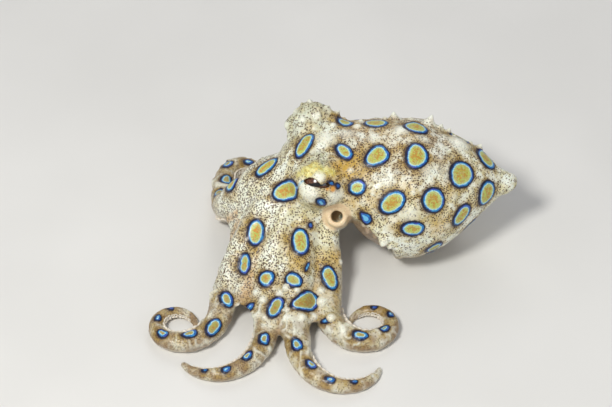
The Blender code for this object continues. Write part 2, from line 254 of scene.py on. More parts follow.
def put_ellipsoid(field, centre, radii, k, turn=None):
    reach = max(radii) + 4.0
    cut, (x, y, z) = window(np.array(centre) - reach, np.array(centre) + reach)
    x, y, z = x - centre[0], y - centre[1], z - centre[2]
    if turn is not None:
        m = np.array(turn, float).T
        x, y, z = (m[i][0] * x + m[i][1] * y + m[i][2] * z for i in range(3))
    k0 = np.sqrt((x / radii[0]) ** 2 + (y / radii[1]) ** 2 + (z / radii[2]) ** 2)
    k1 = np.sqrt(
        (x / radii[0] ** 2) ** 2 + (y / radii[1] ** 2) ** 2 + (z / radii[2] ** 2) ** 2
    )
    d = k0 * (k0 - 1) / np.maximum(k1, 1e-6)
    field[cut] = soft_min(field[cut], d, k)


def put_capsules(field, points, radii):
    """A tube through the points, of changing radius."""
    for a, b, ra, rb in zip(points, points[1:], radii, radii[1:]):
        reach = max(ra, rb) + 2.5
        cut, (x, y, z) = window(np.minimum(a, b) - reach, np.maximum(a, b) + reach)
        way = b - a
        x, y, z = x - a[0], y - a[1], z - a[2]
        t = np.clip((x * way[0] + y * way[1] + z * way[2]) / (way @ way), 0, 1)
        d = np.sqrt(
            (x - t * way[0]) ** 2 + (y - t * way[1]) ** 2 + (z - t * way[2]) ** 2
        )
        d -= ra + (rb - ra) * t
        np.minimum(field[cut], d, out=field[cut])


def mantle_field():
    """The mantle with its free front edge: before that edge the neck is set back."""
    cut, (x, y, z) = window((-27, -22, -2), (28, 22, 36))
    t = np.clip(x / MANTLE_FRONT, 0, 1.35)
    side = MANTLE_R_SIDE * (1 - 0.45 * t**2.6)
    bottom = -0.15 + 23.0 * t**3.2
    top = MANTLE_Z + MANTLE_R_UP - 0.8 * t**2
    cy, cz, rz = 0.7 * t**2, (top + bottom) / 2, np.maximum((top - bottom) / 2, 1.0)
    cz = np.where(x > 0, MANTLE_Z + MANTLE_TIP_RISE * ease((x - 6) / 12), cz)
    far = np.clip(x / MANTLE_TIP, 0, 2)
    k = 1 - far**MANTLE_TAPER
    k = np.where(
        far < 1,
        np.sqrt(np.maximum(k, 0) ** 2 + 0.004) - math.sqrt(0.004) * far,
        (1 - far) * 1.6,
    )
    end = np.clip((far - 0.70) / 0.30, 0, 1)
    k = np.where(far < 1, soft_max(k, 0.23 * np.sqrt(1 - end**2) + 0 * k, 0.04), k)
    q = np.sqrt(((y - cy) / side) ** 2 + ((z - cz) / rz) ** 2)
    d = (q - k) * np.minimum(side, rz)
    slope = np.sqrt(
        1 + np.where(x > 0, MANTLE_R_UP / MANTLE_TIP * MANTLE_TAPER * far**0.6, 0) ** 2
    )
    d = d / slope
    # the free edge runs from the neck down and back along each side
    edge = mantle_edge(y, z)
    down = ease((19.5 - z) / 3.5)
    before = ease((edge - x) / 0.9)
    d = d + (1.8 - 0.7 * ease((y + 3.0) / 8.0)) * down * before
    # a thicker lip just behind it
    lip = np.exp(-(((x - edge - 0.9) / 1.0) ** 2)) * down
    d = d - 0.45 * lip
    d = soft_max(d, MANTLE_FRONT + 0.5 - x, 4.0)
    return cut, d.astype(np.float32)


def mantle_edge(y, z):
    """X of the mantle's free edge at a height."""
    run = -11.5 + (18.5 - z) * 0.98
    return np.where(run < -5.0, run, -5.0 + np.tanh((run + 5.0) / 2.0) * 1.0)


def put_web(field, a, b, depth, loss):
    cols = 2 + int(np.linalg.norm(a[1][int(depth / STEP)] - b[1][int(depth / STEP)]) / 0.5)
    pts = []
    for u in np.linspace(0, 1, cols):
        end = depth - loss * math.sin(math.pi * u)
        k = np.arange(0, end, 0.5) / STEP
        lo = k.astype(int)
        f = (k - lo)[:, None]
        pa = a[1][lo] * (1 - f) + a[1][lo + 1] * f
        pb = b[1][lo] * (1 - f) + b[1][lo + 1] * f
        lift = 0.45 * (a[2][lo] * (1 - u) + b[2][lo] * u)
        p = pa * (1 - u) + pb * u
        p[:, 2] += lift
        pts.append(p)
    pts = np.concatenate(pts)
    r = WEB_THICK / 2
    reach = r + 1.6
    for c in pts:
        cut, (x, y, z) = window(c - reach, c + reach)
        d = np.sqrt((x - c[0]) ** 2 + (y - c[1]) ** 2 + (z - c[2]) ** 2) - r
        np.minimum(field[cut], d, out=field[cut])


def surface_net(field):
    """Vertices and quads of the surface where the field is 0."""
    inside = field < 0
    count = np.zeros([n - 1 for n in field.shape], np.int8)
    corners = [(i, j, k) for i in (0, 1) for j in (0, 1) for k in (0, 1)]
    sl = {0: slice(0, -1), 1: slice(1, None)}
    for c in corners:
        count += inside[sl[c[0]], sl[c[1]], sl[c[2]]]
    mixed = (count > 0) & (count < 8)
    index = np.full(mixed.shape, -1, np.int32)
    cells = np.argwhere(mixed)
    index[mixed] = np.arange(len(cells))
    value = {
        c: field[cells[:, 0] + c[0], cells[:, 1] + c[1], cells[:, 2] + c[2]]
        for c in corners
    }
    total = np.zeros((len(cells), 3))
    hits = np.zeros(len(cells))
    for a in corners:
        for k in range(3):
            if a[k]:
                continue
            b = tuple(1 if i == k else a[i] for i in range(3))
            fa, fb = value[a], value[b]
            crossing = (fa < 0) != (fb < 0)
            t = fa[crossing] / (fa[crossing] - fb[crossing])
            p = np.tile(np.array(a, float), (len(t), 1))
            p[:, k] += t
            total[crossing] += p
            hits[crossing] += 1
    verts = (cells + total / hits[:, None]) * GRID + GRID_LOW
    quads = []
    for k in range(3):
        i, j = [(1, 2), (2, 0), (0, 1)][k]
        first = [slice(None)] * 3
        second = [slice(None)] * 3
        first[k], second[k] = slice(0, -1), slice(1, None)
        a, b = inside[tuple(first)], inside[tuple(second)]
        at = np.argwhere(a != b)
        at = at[(at[:, i] > 0) & (at[:, j] > 0)]
        at = at[(at[:, i] < field.shape[i] - 1) & (at[:, j] < field.shape[j] - 1)]
        turn = a[at[:, 0], at[:, 1], at[:, 2]]
        ring = []
        for di, dj in ((-1, -1), (0, -1), (0, 0), (-1, 0)):
            c = at.copy()
            c[:, i] += di
            c[:, j] += dj
            ring.append(index[c[:, 0], c[:, 1], c[:, 2]])
        ring = np.stack(ring, axis=1)
        ring[~turn] = ring[~turn][:, ::-1]
        quads.append(ring)
    return verts, np.concatenate(quads)


def edges_of(quads):
    e = np.concatenate([quads[:, [0, 1]], quads[:, [1, 2]], quads[:, [2, 3]], quads[:, [3, 0]]])
    return np.unique(np.sort(e, axis=1), axis=0)


def neighbour_mean(values, edges, degree):
    out = np.zeros_like(values)
    for k in range(values.shape[1]):
        out[:, k] = np.bincount(
            edges[:, 0], weights=values[edges[:, 1], k], minlength=len(values)
        ) + np.bincount(
            edges[:, 1], weights=values[edges[:, 0], k], minlength=len(values)
        )
    return out / degree[:, None]


def normals_of(verts, quads):
    a = verts[quads[:, 2]] - verts[quads[:, 0]]
    b = verts[quads[:, 3]] - verts[quads[:, 1]]
    n = np.cross(a, b)
    out = np.zeros_like(verts)
    for k in range(3):
        for c in range(4):
            out[:, k] += np.bincount(quads[:, c], weights=n[:, k], minlength=len(verts))
    return out / np.maximum(np.linalg.norm(out, axis=1), 1e-9)[:, None]


# ---------------------------------------------------------------- the skin
def tracked(direction):
    return np.array(
        Vector(tuple(direction)).normalized().to_track_quat("Z", "Y").to_matrix()
    )


head = new_field()
put_ellipsoid(head, HEAD_C, HEAD_R, 1.0)
put_ellipsoid(head, BULGE_L, BULGE_RADIUS, 2.0)
put_ellipsoid(head, BULGE_R, BULGE_RADIUS, 1.4)
put_ellipsoid(head, CROWN_C, CROWN_R, 2.5, tracked(CROWN_N))
put_ellipsoid(head, SHOULDER_C, SHOULDER_R, 2.5)

arms = new_field()
for path in paths.values():
    one = new_field()
    put_capsules(one, path[1][::2], path[2][::2])
    low, high = path[1].min(0) - 7, path[1].max(0) + 7
    cut, _ = window(low, high)
    arms[cut] = soft_min(arms[cut], one[cut], 0.8)
for (a, b), (depth, loss) in WEBS.items():
    one = new_field()
    put_web(one, paths[a], paths[b], depth, loss)
    cut, _ = window(
        np.minimum(paths[a][1].min(0), paths[b][1].min(0)) - 5,
        np.maximum(paths[a][1].max(0), paths[b][1].max(0)) + 5,
    )
    arms[cut] = soft_min(arms[cut], one[cut], 1.6)

flesh = soft_min(head, arms, 2.4)
cut, d = mantle_field()
joined = soft_min(head[cut], d, 3.4)
flesh[cut] = np.minimum(flesh[cut], joined)
del head, arms, joined, d

# funnel: a tube whose lip is round
axis = FUNNEL_DIR
cut, (x, y, z) = window(FUNNEL_TIP - 12, FUNNEL_TIP + 12)
x, y, z = x - FUNNEL_TIP[0], y - FUNNEL_TIP[1], z - FUNNEL_TIP[2]
along = x * axis[0] + y * axis[1] + z * axis[2]
away = np.sqrt(np.maximum(x * x + y * y + z * z - along * along, 0))
outer = FUNNEL_R_TIP + (FUNNEL_R_BASE - FUNNEL_R_TIP) * np.clip(-along / 7, 0, 1.5)
wall_mid = (outer + FUNNEL_HOLE) / 2
half = (outer - FUNNEL_HOLE) / 2
tube = np.maximum(np.abs(away - wall_mid) - half, -(along + FUNNEL_LENGTH))
lip = np.sqrt((away - wall_mid) ** 2 + np.maximum(along + 0.55, 0) ** 2) - half * 0.98
tube = np.where(along > -0.55, lip, tube)
flesh[cut] = soft_min(flesh[cut], tube, 1.1)
bore = np.maximum(away - (FUNNEL_HOLE + 0.12 * np.clip(-along, 0, 3)), -(along + 5.0))
bore = np.maximum(bore, along - 1.5)
flesh[cut] = np.maximum(flesh[cut], -bore)

# eyes: lids over a ball, open in an almond slit
EYES = {}
for name, centre, pixel_side in (("eye_left", EYE_L, -1), ("eye_right", EYE_R, 1)):
    if name == "eye_left":
        gaze = unit([0.02, -0.80, 0.60])
    else:
        gaze = unit([-0.02, 0.80, 0.60])
    across = unit(np.cross([0, 0, 1.0], gaze)) * (1 if pixel_side < 0 else -1)
    across = across if across[0] > 0 else -across
    over = unit(np.cross(gaze, across))
    over = over if over[2] > 0 else -over
    EYES[name] = (centre, gaze, across, over)
    lid_r = EYE_RADIUS + 0.75
    cut, (x, y, z) = window(centre - 9, centre + 9)
    x, y, z = x - centre[0], y - centre[1], z - centre[2]
    r = np.sqrt(x * x + y * y + z * z)
    flesh[cut] = soft_min(flesh[cut], r - lid_r, 2.4 if name == "eye_left" else 1.4)
    u = x * across[0] + y * across[1] + z * across[2]
    v = x * over[0] + y * over[1] + z * over[2]
    w = x * gaze[0] + y * gaze[1] + z * gaze[2]
    uu = (u + 0.25) / 3.05
    full = np.maximum(1 - uu * uu, 0) ** 0.6
    flap = 0.95 * np.exp(-(((u - 0.75) / 0.75) ** 2))
    top = 0.35 - 0.17 * u + 0.80 * full - flap + 0.34 * np.exp(-(((u + 1.6) / 0.9) ** 2))
    bottom = 0.10 - 0.20 * u - 0.80 * full
    slit = np.maximum(v - top, bottom - v)
    slit = np.maximum(slit, np.abs(u + 0.25) - 3.0)
    slit = np.maximum(slit, 1.0 - w)
    ball = r - (EYE_RADIUS + 0.08)
    flesh[cut] = np.maximum(flesh[cut], -ball)
    flesh[cut] = np.maximum(flesh[cut], -slit)

floor = -AXES[2].reshape(1, 1, -1)
flesh = np.maximum(flesh, floor)
verts, quads = surface_net(flesh)
del flesh

# keep the largest piece
edges = edges_of(quads)
label = np.arange(len(verts))
for _ in range(4000):
    low = np.minimum(label[edges[:, 0]], label[edges[:, 1]])
    new = label.copy()
    np.minimum.at(new, edges[:, 0], low)
    np.minimum.at(new, edges[:, 1], low)
    new = new[new]
    new = new[new]
    if (new == label).all():
        break
    label = new
names, sizes = np.unique(label, return_counts=True)
print("pieces of the surface:", len(names), sorted(sizes.tolist())[-6:])
keep = label == names[sizes.argmax()]
renumber = np.cumsum(keep) - 1
quads = renumber[quads[keep[quads[:, 0]]]]
verts = verts[keep]

edges = edges_of(quads)
degree = np.bincount(edges.reshape(-1), minlength=len(verts)).astype(float)
on_floor = verts[:, 2] < 0.02
for factor in (0.5, -0.52) * 4:
    move = neighbour_mean(verts, edges, degree) - verts
    move[on_floor, 2] = 0
    verts = verts + factor * move
verts[:, 2] = np.maximum(verts[:, 2], 0)
print("skin", len(verts), "vertices", len(quads), "quads")
normals = normals_of(verts, quads)

# ---------------------------------------------------------------- where is what
surface = BVHTree.FromPolygons(verts.tolist(), quads.tolist())


def hit_pixel(px, py):
    origin, way = ray_of_pixel(px, py)
    place, normal, face, _ = surface.ray_cast(Vector(origin), Vector(way))
    if place is None:
        return None
    corner = quads[face]
    n = unit(normals[corner].mean(0))
    return np.array(place), n


def nearest(point):
    place, normal, face, _ = surface.find_nearest(Vector(tuple(point)))
    return np.array(place), unit(normals[quads[face]].mean(0))


# arm coordinates of every vertex: which arm, length along it, angle from its top
arm_names = [row[0] for row in ARMS]
best = np.full(len(verts), 1e9)
arm_of = np.full(len(verts), -1)
arm_s = np.zeros(len(verts))
arm_angle = np.zeros(len(verts))
for k, name in enumerate(arm_names):
    s, points, r = paths[name]
    t, side, up = arm_frames(paths[name])
    low, high = points.min(0) - 8, points.max(0) + 8
    near = np.flatnonzero(((verts > low) & (verts < high)).all(1))
    for part in np.array_split(near, max(1, len(near) // 4000)):
        d = np.linalg.norm(verts[part][:, None, :] - points[None, ::2], axis=2)
        j = d.argmin(1)
        dist = d[np.arange(len(part)), j] - r[::2][j]
        better = dist < best[part]
        who, jj = part[better], j[better] * 2
        best[who] = dist[better]
        arm_of[who] = k
        arm_s[who] = s[jj]
        off = verts[who] - points[jj]
        a = (off * side[jj]).sum(1)
        b = (off * up[jj]).sum(1)
        arm_angle[who] = np.arctan2(a, b)

# ---------------------------------------------------------------- rings
RINGS = []  # centre, normal, 2x2 map from tangent mm to unit circle, mean radius, harmonics, kind


def tangent_frame(n):
    e1 = RIGHT - n * (RIGHT @ n)
    e1 = e1 / np.linalg.norm(e1)
    return e1, np.cross(n, e1)


def ellipse_map(wide, tall, angle):
    """2x2 matrix that takes an ellipse to the unit circle."""
    c, s = math.cos(math.radians(angle)), math.sin(math.radians(angle))
    turn = np.array([[c, s], [-s, c]])
    return np.diag([2.0 / wide, 2.0 / tall]) @ turn


def ring_by_pixel(px, py, wide, tall, angle=0.0, shape=(), kind=0.0, on_skin=None, mirror=False):
    """A ring seen in the photograph at a pixel, with its width and height there.
    Near the outline on_skin gives its true size in mm on the skin instead."""
    found = hit_pixel(px, py)
    if found is None:
        print("no skin at", px, py)
        return
    centre, n = found
    e1, e2 = tangent_frame(n)
    if on_skin is not None:
        m = ellipse_map(*on_skin)
    else:
        to_view = np.array([[e1 @ RIGHT, e2 @ RIGHT], [e1 @ UP, e2 @ UP]]) / MM_PER_PX
        # never stretch more than the skin's own slope allows
        u, sv, vt = np.linalg.svd(to_view)
        sv = np.maximum(sv, 0.38 / MM_PER_PX)
        m = ellipse_map(wide, tall, angle) @ (u @ np.diag(sv) @ vt)
    RINGS.append((centre, n, e1, e2, m, shape, kind))
    if mirror:
        c2 = centre * (1, -1, 1) + (0.0, 0.4, 0.0)
        c2, n2 = nearest(c2)
        n_m = n * (1, -1, 1)
        f1 = e1 * (1, -1, 1)
        f1 = unit(f1 - n2 * (f1 @ n2))
        f2 = e2 * (1, -1, 1)
        f2 = unit(f2 - n2 * (f2 @ n2) - f1 * (f2 @ f1))
        RINGS.append((c2, n2, f1, f2, m, shape, kind))


def ring_on_arm(name, s, angle, long, wide, kind=0.0, shape=()):
    """A ring at a length along an arm and an angle from its top, sizes in mm."""
    ss, points, r = paths[name]
    k = int(np.clip(round(s / STEP), 1, len(ss) - 2))
    t, side, up = arm_frames(paths[name])
    a = math.radians(angle)
    way = side[k] * math.sin(a) + up[k] * math.cos(a)
    c, n = nearest(points[k] + way * (r[k] + 0.4))
    e1 = unit(t[k] - n * (t[k] @ n))
    RINGS.append((c, n, e1, np.cross(n, e1), ellipse_map(long, wide, 0.0), shape, kind))


EGG = ((1, 0.14, math.pi), (2, 0.04, 0.5))
ring_by_pixel(344.6, 122.4, 19, 9.5, on_skin=(4.2, 3.9, 0))
ring_by_pixel(375.5, 123, 24, 11, on_skin=(5.8, 5.2, 0), shape=((2, 0.03, 1.0),))
ring_by_pixel(415.7, 127, 25, 11, on_skin=(6.0, 5.4, -10), shape=((3, 0.03, 1.0),))
ring_by_pixel(344, 151.2, 19.5, 13.5, -40)
ring_by_pixel(377.8, 155.0, 25.5, 19.5, 33, shape=((1, 0.08, math.pi), (3, 0.075, math.pi)))
ring_by_pixel(416.7, 154.8, 22.5, 25.5, 0, shape=((1, 0.05, 1.57), (3, 0.04, 0.6)))
ring_by_pixel(461.6, 174.2, 24.5, 26.5, 0, shape=((3, 0.02, 0.6),), mirror=True)
ring_by_pixel(486.2, 158.5, 17, 25, 118, on_skin=(6.2, 5.4, 118))
ring_by_pixel(357.2, 187.4, 17.5, 15.8, 20, mirror=True)
ring_by_pixel(391.7, 203, 28, 20.5, 36, shape=((1, 0.04, 0.0),), mirror=True)
ring_by_pixel(433.5, 200.4, 22.5, 24.8, 0, mirror=True)
ring_by_pixel(461.8, 215.4, 26, 8.5, 44, on_skin=(6.2, 4.4, 44), mirror=True)
ring_by_pixel(487, 193.5, 16, 24, 62, on_skin=(6.4, 5.2, 62))
ring_by_pixel(364.8, 217.0, 14.5, 8.5, -45, kind=1.0, shape=((1, 0.18, 0.0), (3, 0.09, math.pi)), mirror=True)
ring_by_pixel(412.8, 229, 23.5, 14.5, 0, mirror=True)
ring_by_pixel(383, 248, 16, 9, 10, on_skin=(3.6, 2.9, 10))
ring_by_pixel(434, 247.5, 17, 8, 20, on_skin=(4.6, 4.0, 20))

ring_by_pixel(304, 144.4, 27.5, 13.2, 57, shape=((2, 0.03, 0.4),))
ring_by_pixel(266.4, 166.4, 27, 10.5, 36)
ring_by_pixel(288.6, 190.4, 31, 20.5, 22, shape=((1, 0.04, 0.0), (3, 0.03, 1.2)), mirror=True)
ring_by_pixel(321.0, 202.2, 10.4, 7.4, -18, kind=1.0, mirror=True)
ring_by_pixel(255.6, 233.4, 26.5, 17, 84, shape=((1, 0.06, 0.0),))
ring_by_pixel(300.6, 242.4, 26.5, 18, 97, shape=((1, 0.07, 0.0),))
ring_by_pixel(244.4, 263.8, 21.5, 12, 84)
ring_by_pixel(265.8, 278.4, 17, 15, 40, shape=((3, 0.05, 0.0),))
ring_by_pixel(293, 279.8, 18, 14.8, -14)
ring_by_pixel(330, 279, 25, 15.5, 111, shape=((1, 0.10, 0.3),))
ring_by_pixel(305, 301.5, 25, 19.5, 8, shape=((1, 0.14, 0.0), (3, 0.07, math.pi)))
ring_by_pixel(274.8, 307.6, 21.5, 14.5, 62, shape=((1, 0.06, 1.0),))
ring_by_pixel(226.5, 299.2, 16.5, 12.5, 120)
ring_by_pixel(249.4, 307.5, 9.5, 6.5, 70, kind=1.0)
ring_by_pixel(241, 316.0, 11, 5.5, -12, kind=1.0)
ring_by_pixel(213.6, 327.0, 18.5, 14, 55)
ring_by_pixel(327.5, 320.5, 14, 4.6, 10, kind=1.0)
ring_by_pixel(307.6, 266.6, 9.5, 3.2, 66, kind=1.0)
ring_by_pixel(310.4, 225.4, 5.4, 4.0, 100, kind=1.0)
ring_by_pixel(330.8, 183.4, 7.2, 4.6, -14, kind=1.0)
ring_by_pixel(337.6, 185.9, 5.0, 5.2, 0, kind=1.0)
seen_rings = len(RINGS)

# rings that the photograph doesn't show: far arms and the ends that lie on the floor
for name, spots in {
    "arm_r1": ((10, -10, 4.6, 3.8), (17, 22, 4.8, 3.7), (24.5, -18, 4.4, 3.6), (32, 14, 4.0, 3.2), (38.5, -14, 3.2, 2.5), (44, 12, 2.4, 1.9), (48.5, -8, 1.7, 1.3)),
    "arm_r2": ((9, 12, 4.8, 3.9), (16, -14, 4.8, 3.8), (23, 12, 4.0, 3.3), (29.5, -14, 3.0, 2.4), (35, 8, 2.3, 1.8), (39, -8, 1.6, 1.2)),
    "arm_r3": ((10, -12, 4.9, 4.0), (17.5, 12, 4.8, 3.8), (25, -10, 4.2, 3.4), (32, 12, 3.2, 2.5), (38, -10, 2.4, 1.8), (43, 6, 1.6, 1.2)),
    "arm_r4": ((12, 8, 4.8, 3.9), (20, -14, 5.0, 4.0), (28, 12, 4.7, 3.8), (36, -12, 4.2, 3.4), (44, 12, 3.6, 2.9), (51, -12, 2.9, 2.2), (57.5, 8, 2.2, 1.7), (63, -6, 1.6, 1.2)),
    "arm_l1": ((44, 6, 3.6, 2.9), (50.5, -10, 3.1, 2.4), (56.5, 8, 2.3, 1.8), (61.5, -6, 1.7, 1.3)),
    "arm_l2": ((36.5, -12, 3.4, 2.7), (42.5, 10, 3.0, 2.3), (48.5, -8, 2.3, 1.8), (53.5, 6, 1.6, 1.2)),
    "arm_l3": ((36, 8, 3.5, 2.7), (42.5, -12, 3.1, 2.4), (48.5, 8, 2.5, 1.9), (54, -6, 1.8, 1.4)),
    "arm_l4": ((30.5, -14, 3.8, 2.9), (37.5, 10, 3.5, 2.7), (44, -10, 2.9, 2.2), (50, 8, 2.2, 1.7), (55, -6, 1.6, 1.2)),
}.items():
    for s, angle, long, wide in spots:
        ring_on_arm(name, s, angle, long, wide, shape=((2, 0.05, s), (3, 0.04, 2 * s)))

def ring_on_mantle(x, angle, long, wide, turn=0.0):
    """A ring on the mantle at an X and an angle from its top, + to the animal's right."""
    a = math.radians(angle)
    way = np.array([0.0, -math.sin(a), -math.cos(a)])
    start = np.array([x, 0.0, MANTLE_Z]) - way * 40
    place, _, face, _ = surface.ray_cast(Vector(start), Vector(way))
    n = unit(normals[quads[face]].mean(0))
    e1, e2 = tangent_frame(n)
    RINGS.append((np.array(place), n, e1, e2, ellipse_map(long, wide, turn), ((2, 0.04, x),), 0.0))


for spot in (
    (13.5, -124, 4.4, 3.8, 20), (4.5, -136, 4.2, 3.6, -15), (13.0, 122, 4.6, 3.8, -20),
    (4.0, 131, 4.4, 3.7, 15), (-5.0, 128, 3.8, 3.2, 0), (19.0, 82, 3.6, 3.0, 30), (18.5, 20, 3.8, 3.2, 0),
):
    ring_on_mantle(*spot)

ring_d = np.full(len(verts), 6.0)
ring_kind = np.zeros(len(verts))
ring_side = np.zeros(len(verts))
for k, (c, n, e1, e2, m, shape, kind) in enumerate(RINGS):
    near = np.flatnonzero(np.abs(verts - c).max(1) < 8)
    off = verts[near] - c
    good = (normals[near] @ n > 0.15) & (np.abs(off @ n) < 3.2)
    near, off = near[good], off[good]
    a, b = off @ e1, off @ e2
    flat = np.maximum(np.hypot(a, b), 1e-6)
    chord = np.linalg.norm(off, axis=1)
    a, b = a * chord / flat, b * chord / flat
    q = np.stack([a, b], axis=1) @ m.T
    rho = np.hypot(q[:, 0], q[:, 1])
    theta = np.arctan2(q[:, 1], q[:, 0])
    bend = np.ones(len(rho))
    for order, amp, phase in shape:
        bend += amp * np.cos(order * theta + phase)
    rho = rho / bend
    # local radius in mm along this direction
    local = np.where(rho > 1e-3, chord / np.maximum(rho, 1e-3), 2.0)
    d = (rho - 1) * np.clip(local, 0.4, 6.0)
    if kind and 2 / np.linalg.norm(m) < 0.9:
        d = np.where(d < 0, d * 1.8, d)
    if k >= seen_rings:
        d = np.where(chord < 6, d, 6)
        # a made-up ring never runs into a seen one
        clash = (ring_d[near] < 0.4) & (d < 0.4)
        if clash.any():
            continue
    better = d < ring_d[near]
    ring_d[near[better]] = d[better]
    ring_kind[near[better]] = kind
    ring_side[near[better]] = ((off @ RIGHT) / np.maximum(chord, 0.5))[better]
print("rings", len(RINGS))

# ---------------------------------------------------------------- relief
lift = np.zeros(len(verts))
white = np.zeros(len(verts))


def cone_at(px, py, height, radius, whiteness=1.0, sharp=1.6):
    """A pointed or rounded papilla where the photograph shows one."""
    for down in range(7):
        found = hit_pixel(px, py + down)
        if found is not None:
            break
    if found is None:
        print("no skin for papilla", px, py)
        return
    c, n = found
    d = np.linalg.norm(verts - c, axis=1)
    k = np.clip(1 - d / (2.2 * radius), 0, 1) ** sharp
    lift[:] = np.maximum(lift, height * k)
    white[:] = np.maximum(white, whiteness * np.clip(1.35 - d / (1.25 * radius), 0, 1))
    if height > 0.7:  # a ring's line stops at a papilla
        ring_d[:] = np.maximum(ring_d, np.where(d < 1.3 * radius, 0.8, -9.0))


for spot in (
    (361, 123.0, 1.2, 0.75), (394, 119.0, 2.0, 0.85), (429, 123.5, 2.4, 1.0),
    (440, 128.5, 1.3, 0.65), (448, 132.5, 1.2, 0.65), (478, 149, 1.5, 0.75),
    (369, 230, 1.5, 0.75), (384, 241, 1.9, 0.8), (376, 236, 0.9, 0.6),
    (364, 225, 0.8, 0.5), (390, 246, 0.9, 0.6),
    (357, 127, 0.8, 0.8), (403, 131, 0.6, 0.9), (410, 119.5, 0.7, 0.5),
    (385, 119.0, 0.7, 0.5), (470, 142, 0.9, 0.6), (454, 137, 0.8, 0.5),
    (286, 288, 1.1, 0.8), (321, 291, 1.2, 0.8), (322, 302, 1.0, 1.1), (331, 318, 0.8, 0.8),
    (302, 317, 0.7, 0.8), (314, 316, 0.7, 0.7), (263, 300, 0.8, 0.8), (287, 318, 0.7, 0.8),
    (297, 290, 0.6, 0.6), (280, 293, 0.7, 0.7), (256, 292, 0.6, 0.7), (340, 262, 0.6, 0.7),
    (333, 126, 0.9, 0.7), (328, 108, 0.8, 0.6), (310, 103, 0.8, 0.6), (296, 110, 0.9, 0.7),
    (290, 121, 0.8, 0.6), (301, 119, 0.6, 0.7), (317, 116, 0.6, 0.7), (336, 114, 0.7, 0.6),
):
    cone_at(*spot)
for spot in (
    (458.5, 144, 0.8, 2.0, 1.0, 0.8), (401, 131, 0.55, 1.5, 0.95, 0.9), (373, 137, 0.5, 0.9, 0.8, 0.9),
    (373, 139, 0.3, 1.1, 0.6, 0.8), (325, 139, 0.45, 1.9, 0.85, 0.7),
    (347, 134, 0.35, 1.4, 0.5, 0.8), (320, 177.0, 0.5, 1.0, 0.9, 0.8),
    (318, 152, 0.5, 1.0, 0.3, 0.9), (336, 196, 0.3, 1.6, 0.8, 0.8),
    (310, 195, 0.3, 1.8, 0.9, 0.8), (428, 172, 0.15, 1.3, 0.6, 0.8),
    (408, 214, 0.15, 1.6, 0.6, 0.8), (443, 172, 0.1, 1.6, 0.4, 0.8),
    (425, 140, 0.25, 1.0, 0.5, 0.8), (387, 180, 0.15, 1.6, 0.4, 0.8),
):
    cone_at(*spot)

# small papillae strewn over the upper side of the mantle and head
strewn = np.random.default_rng(12)
candidates = np.flatnonzero((normals[:, 2] > 0.05) & (verts[:, 0] > -27) & (verts[:, 2] > 15) & (ring_d > 1.3))
taken = []
for i in strewn.permutation(candidates):
    c = verts[i]
    if all(np.linalg.norm(c - other) > 3.1 for other in taken):
        taken.append(c)
    if len(taken) == 90:
        break
for c in taken:
    if min(np.linalg.norm(c - EYE_L), np.linalg.norm(c - EYE_R)) < 6.5 or np.linalg.norm(c - FUNNEL_TIP) < 6:
        continue
    high, wide = strewn.uniform(0.22, 0.52), strewn.uniform(0.45, 0.8)
    d = np.linalg.norm(verts - c, axis=1)
    k = np.clip(1 - d / (2.2 * wide), 0, 1) ** 1.3
    lift[:] = np.maximum(lift, high * k)
    white[:] = np.maximum(white, strewn.uniform(0.35, 0.8) * np.clip(1.3 - d / (1.3 * wide), 0, 1))

# fine relief of the whole skin, rougher on the far bulge and the brow
n1 = lattice_noise(verts / 1.9, 1) - 0.5
n2 = lattice_noise(verts / 0.95, 2) - 0.5
n3 = lattice_noise(verts / 3.9, 3) - 0.5
rough = np.zeros(len(verts))
for c, r in ((np.array(EYE_R), 6.5), (np.array(EYE_L) + (0, 1.5, 4.2), 3.4)):
    rough = np.maximum(rough, ease(1.5 - np.linalg.norm(verts - c, axis=1) / r))
inside_ring = ease((0.3 - ring_d) / 0.6)
calm = 1 - 0.75 * inside_ring
lift += calm * (0.26 * n1 + 0.20 * n2 + 0.30 * n3 + rough * ease((ring_d - 0.1) / 1.2) * (1.6 * n1 + 1.3 * n2 + 0.2))
# a shallow swelling inside each ring and a fine groove at its outline
lift += 0.10 * inside_ring - 0.10 * np.exp(-((ring_d / 0.28) ** 2))
# folds across the arms
folds = np.sin(arm_s * 4.2 + 1.5 * (lattice_noise(verts / 2.5, 5) - 0.5) * 6)
on_arm = (best < 0.7) & (arm_s > 18)
lift += np.where(on_arm, 0.07 * folds, 0) * calm

# crinkled, whitish ridges low on the web and the arms
ridge = 1 - np.abs(2 * lattice_noise(verts / (1.5, 1.5, 2.1), 8) - 1)
ridge = ease((ridge - 0.62) / 0.33) * ease((lattice_noise(verts / 3.2, 9) - 0.36) / 0.3)
crinkle = ease((13.5 - verts[:, 2]) / 6.0) * ease((arm_s - 20) / 7.0) * ease((54 - arm_s) / 16.0)
crinkle = crinkle * (arm_of >= 0) * (best < 1.5) * ease((normals[:, 2] + 0.3) / 0.4)
lift += 0.50 * crinkle * ridge * calm
white = np.maximum(white, 0.8 * crinkle * ridge * ease((ring_d - 0.2) / 0.5))

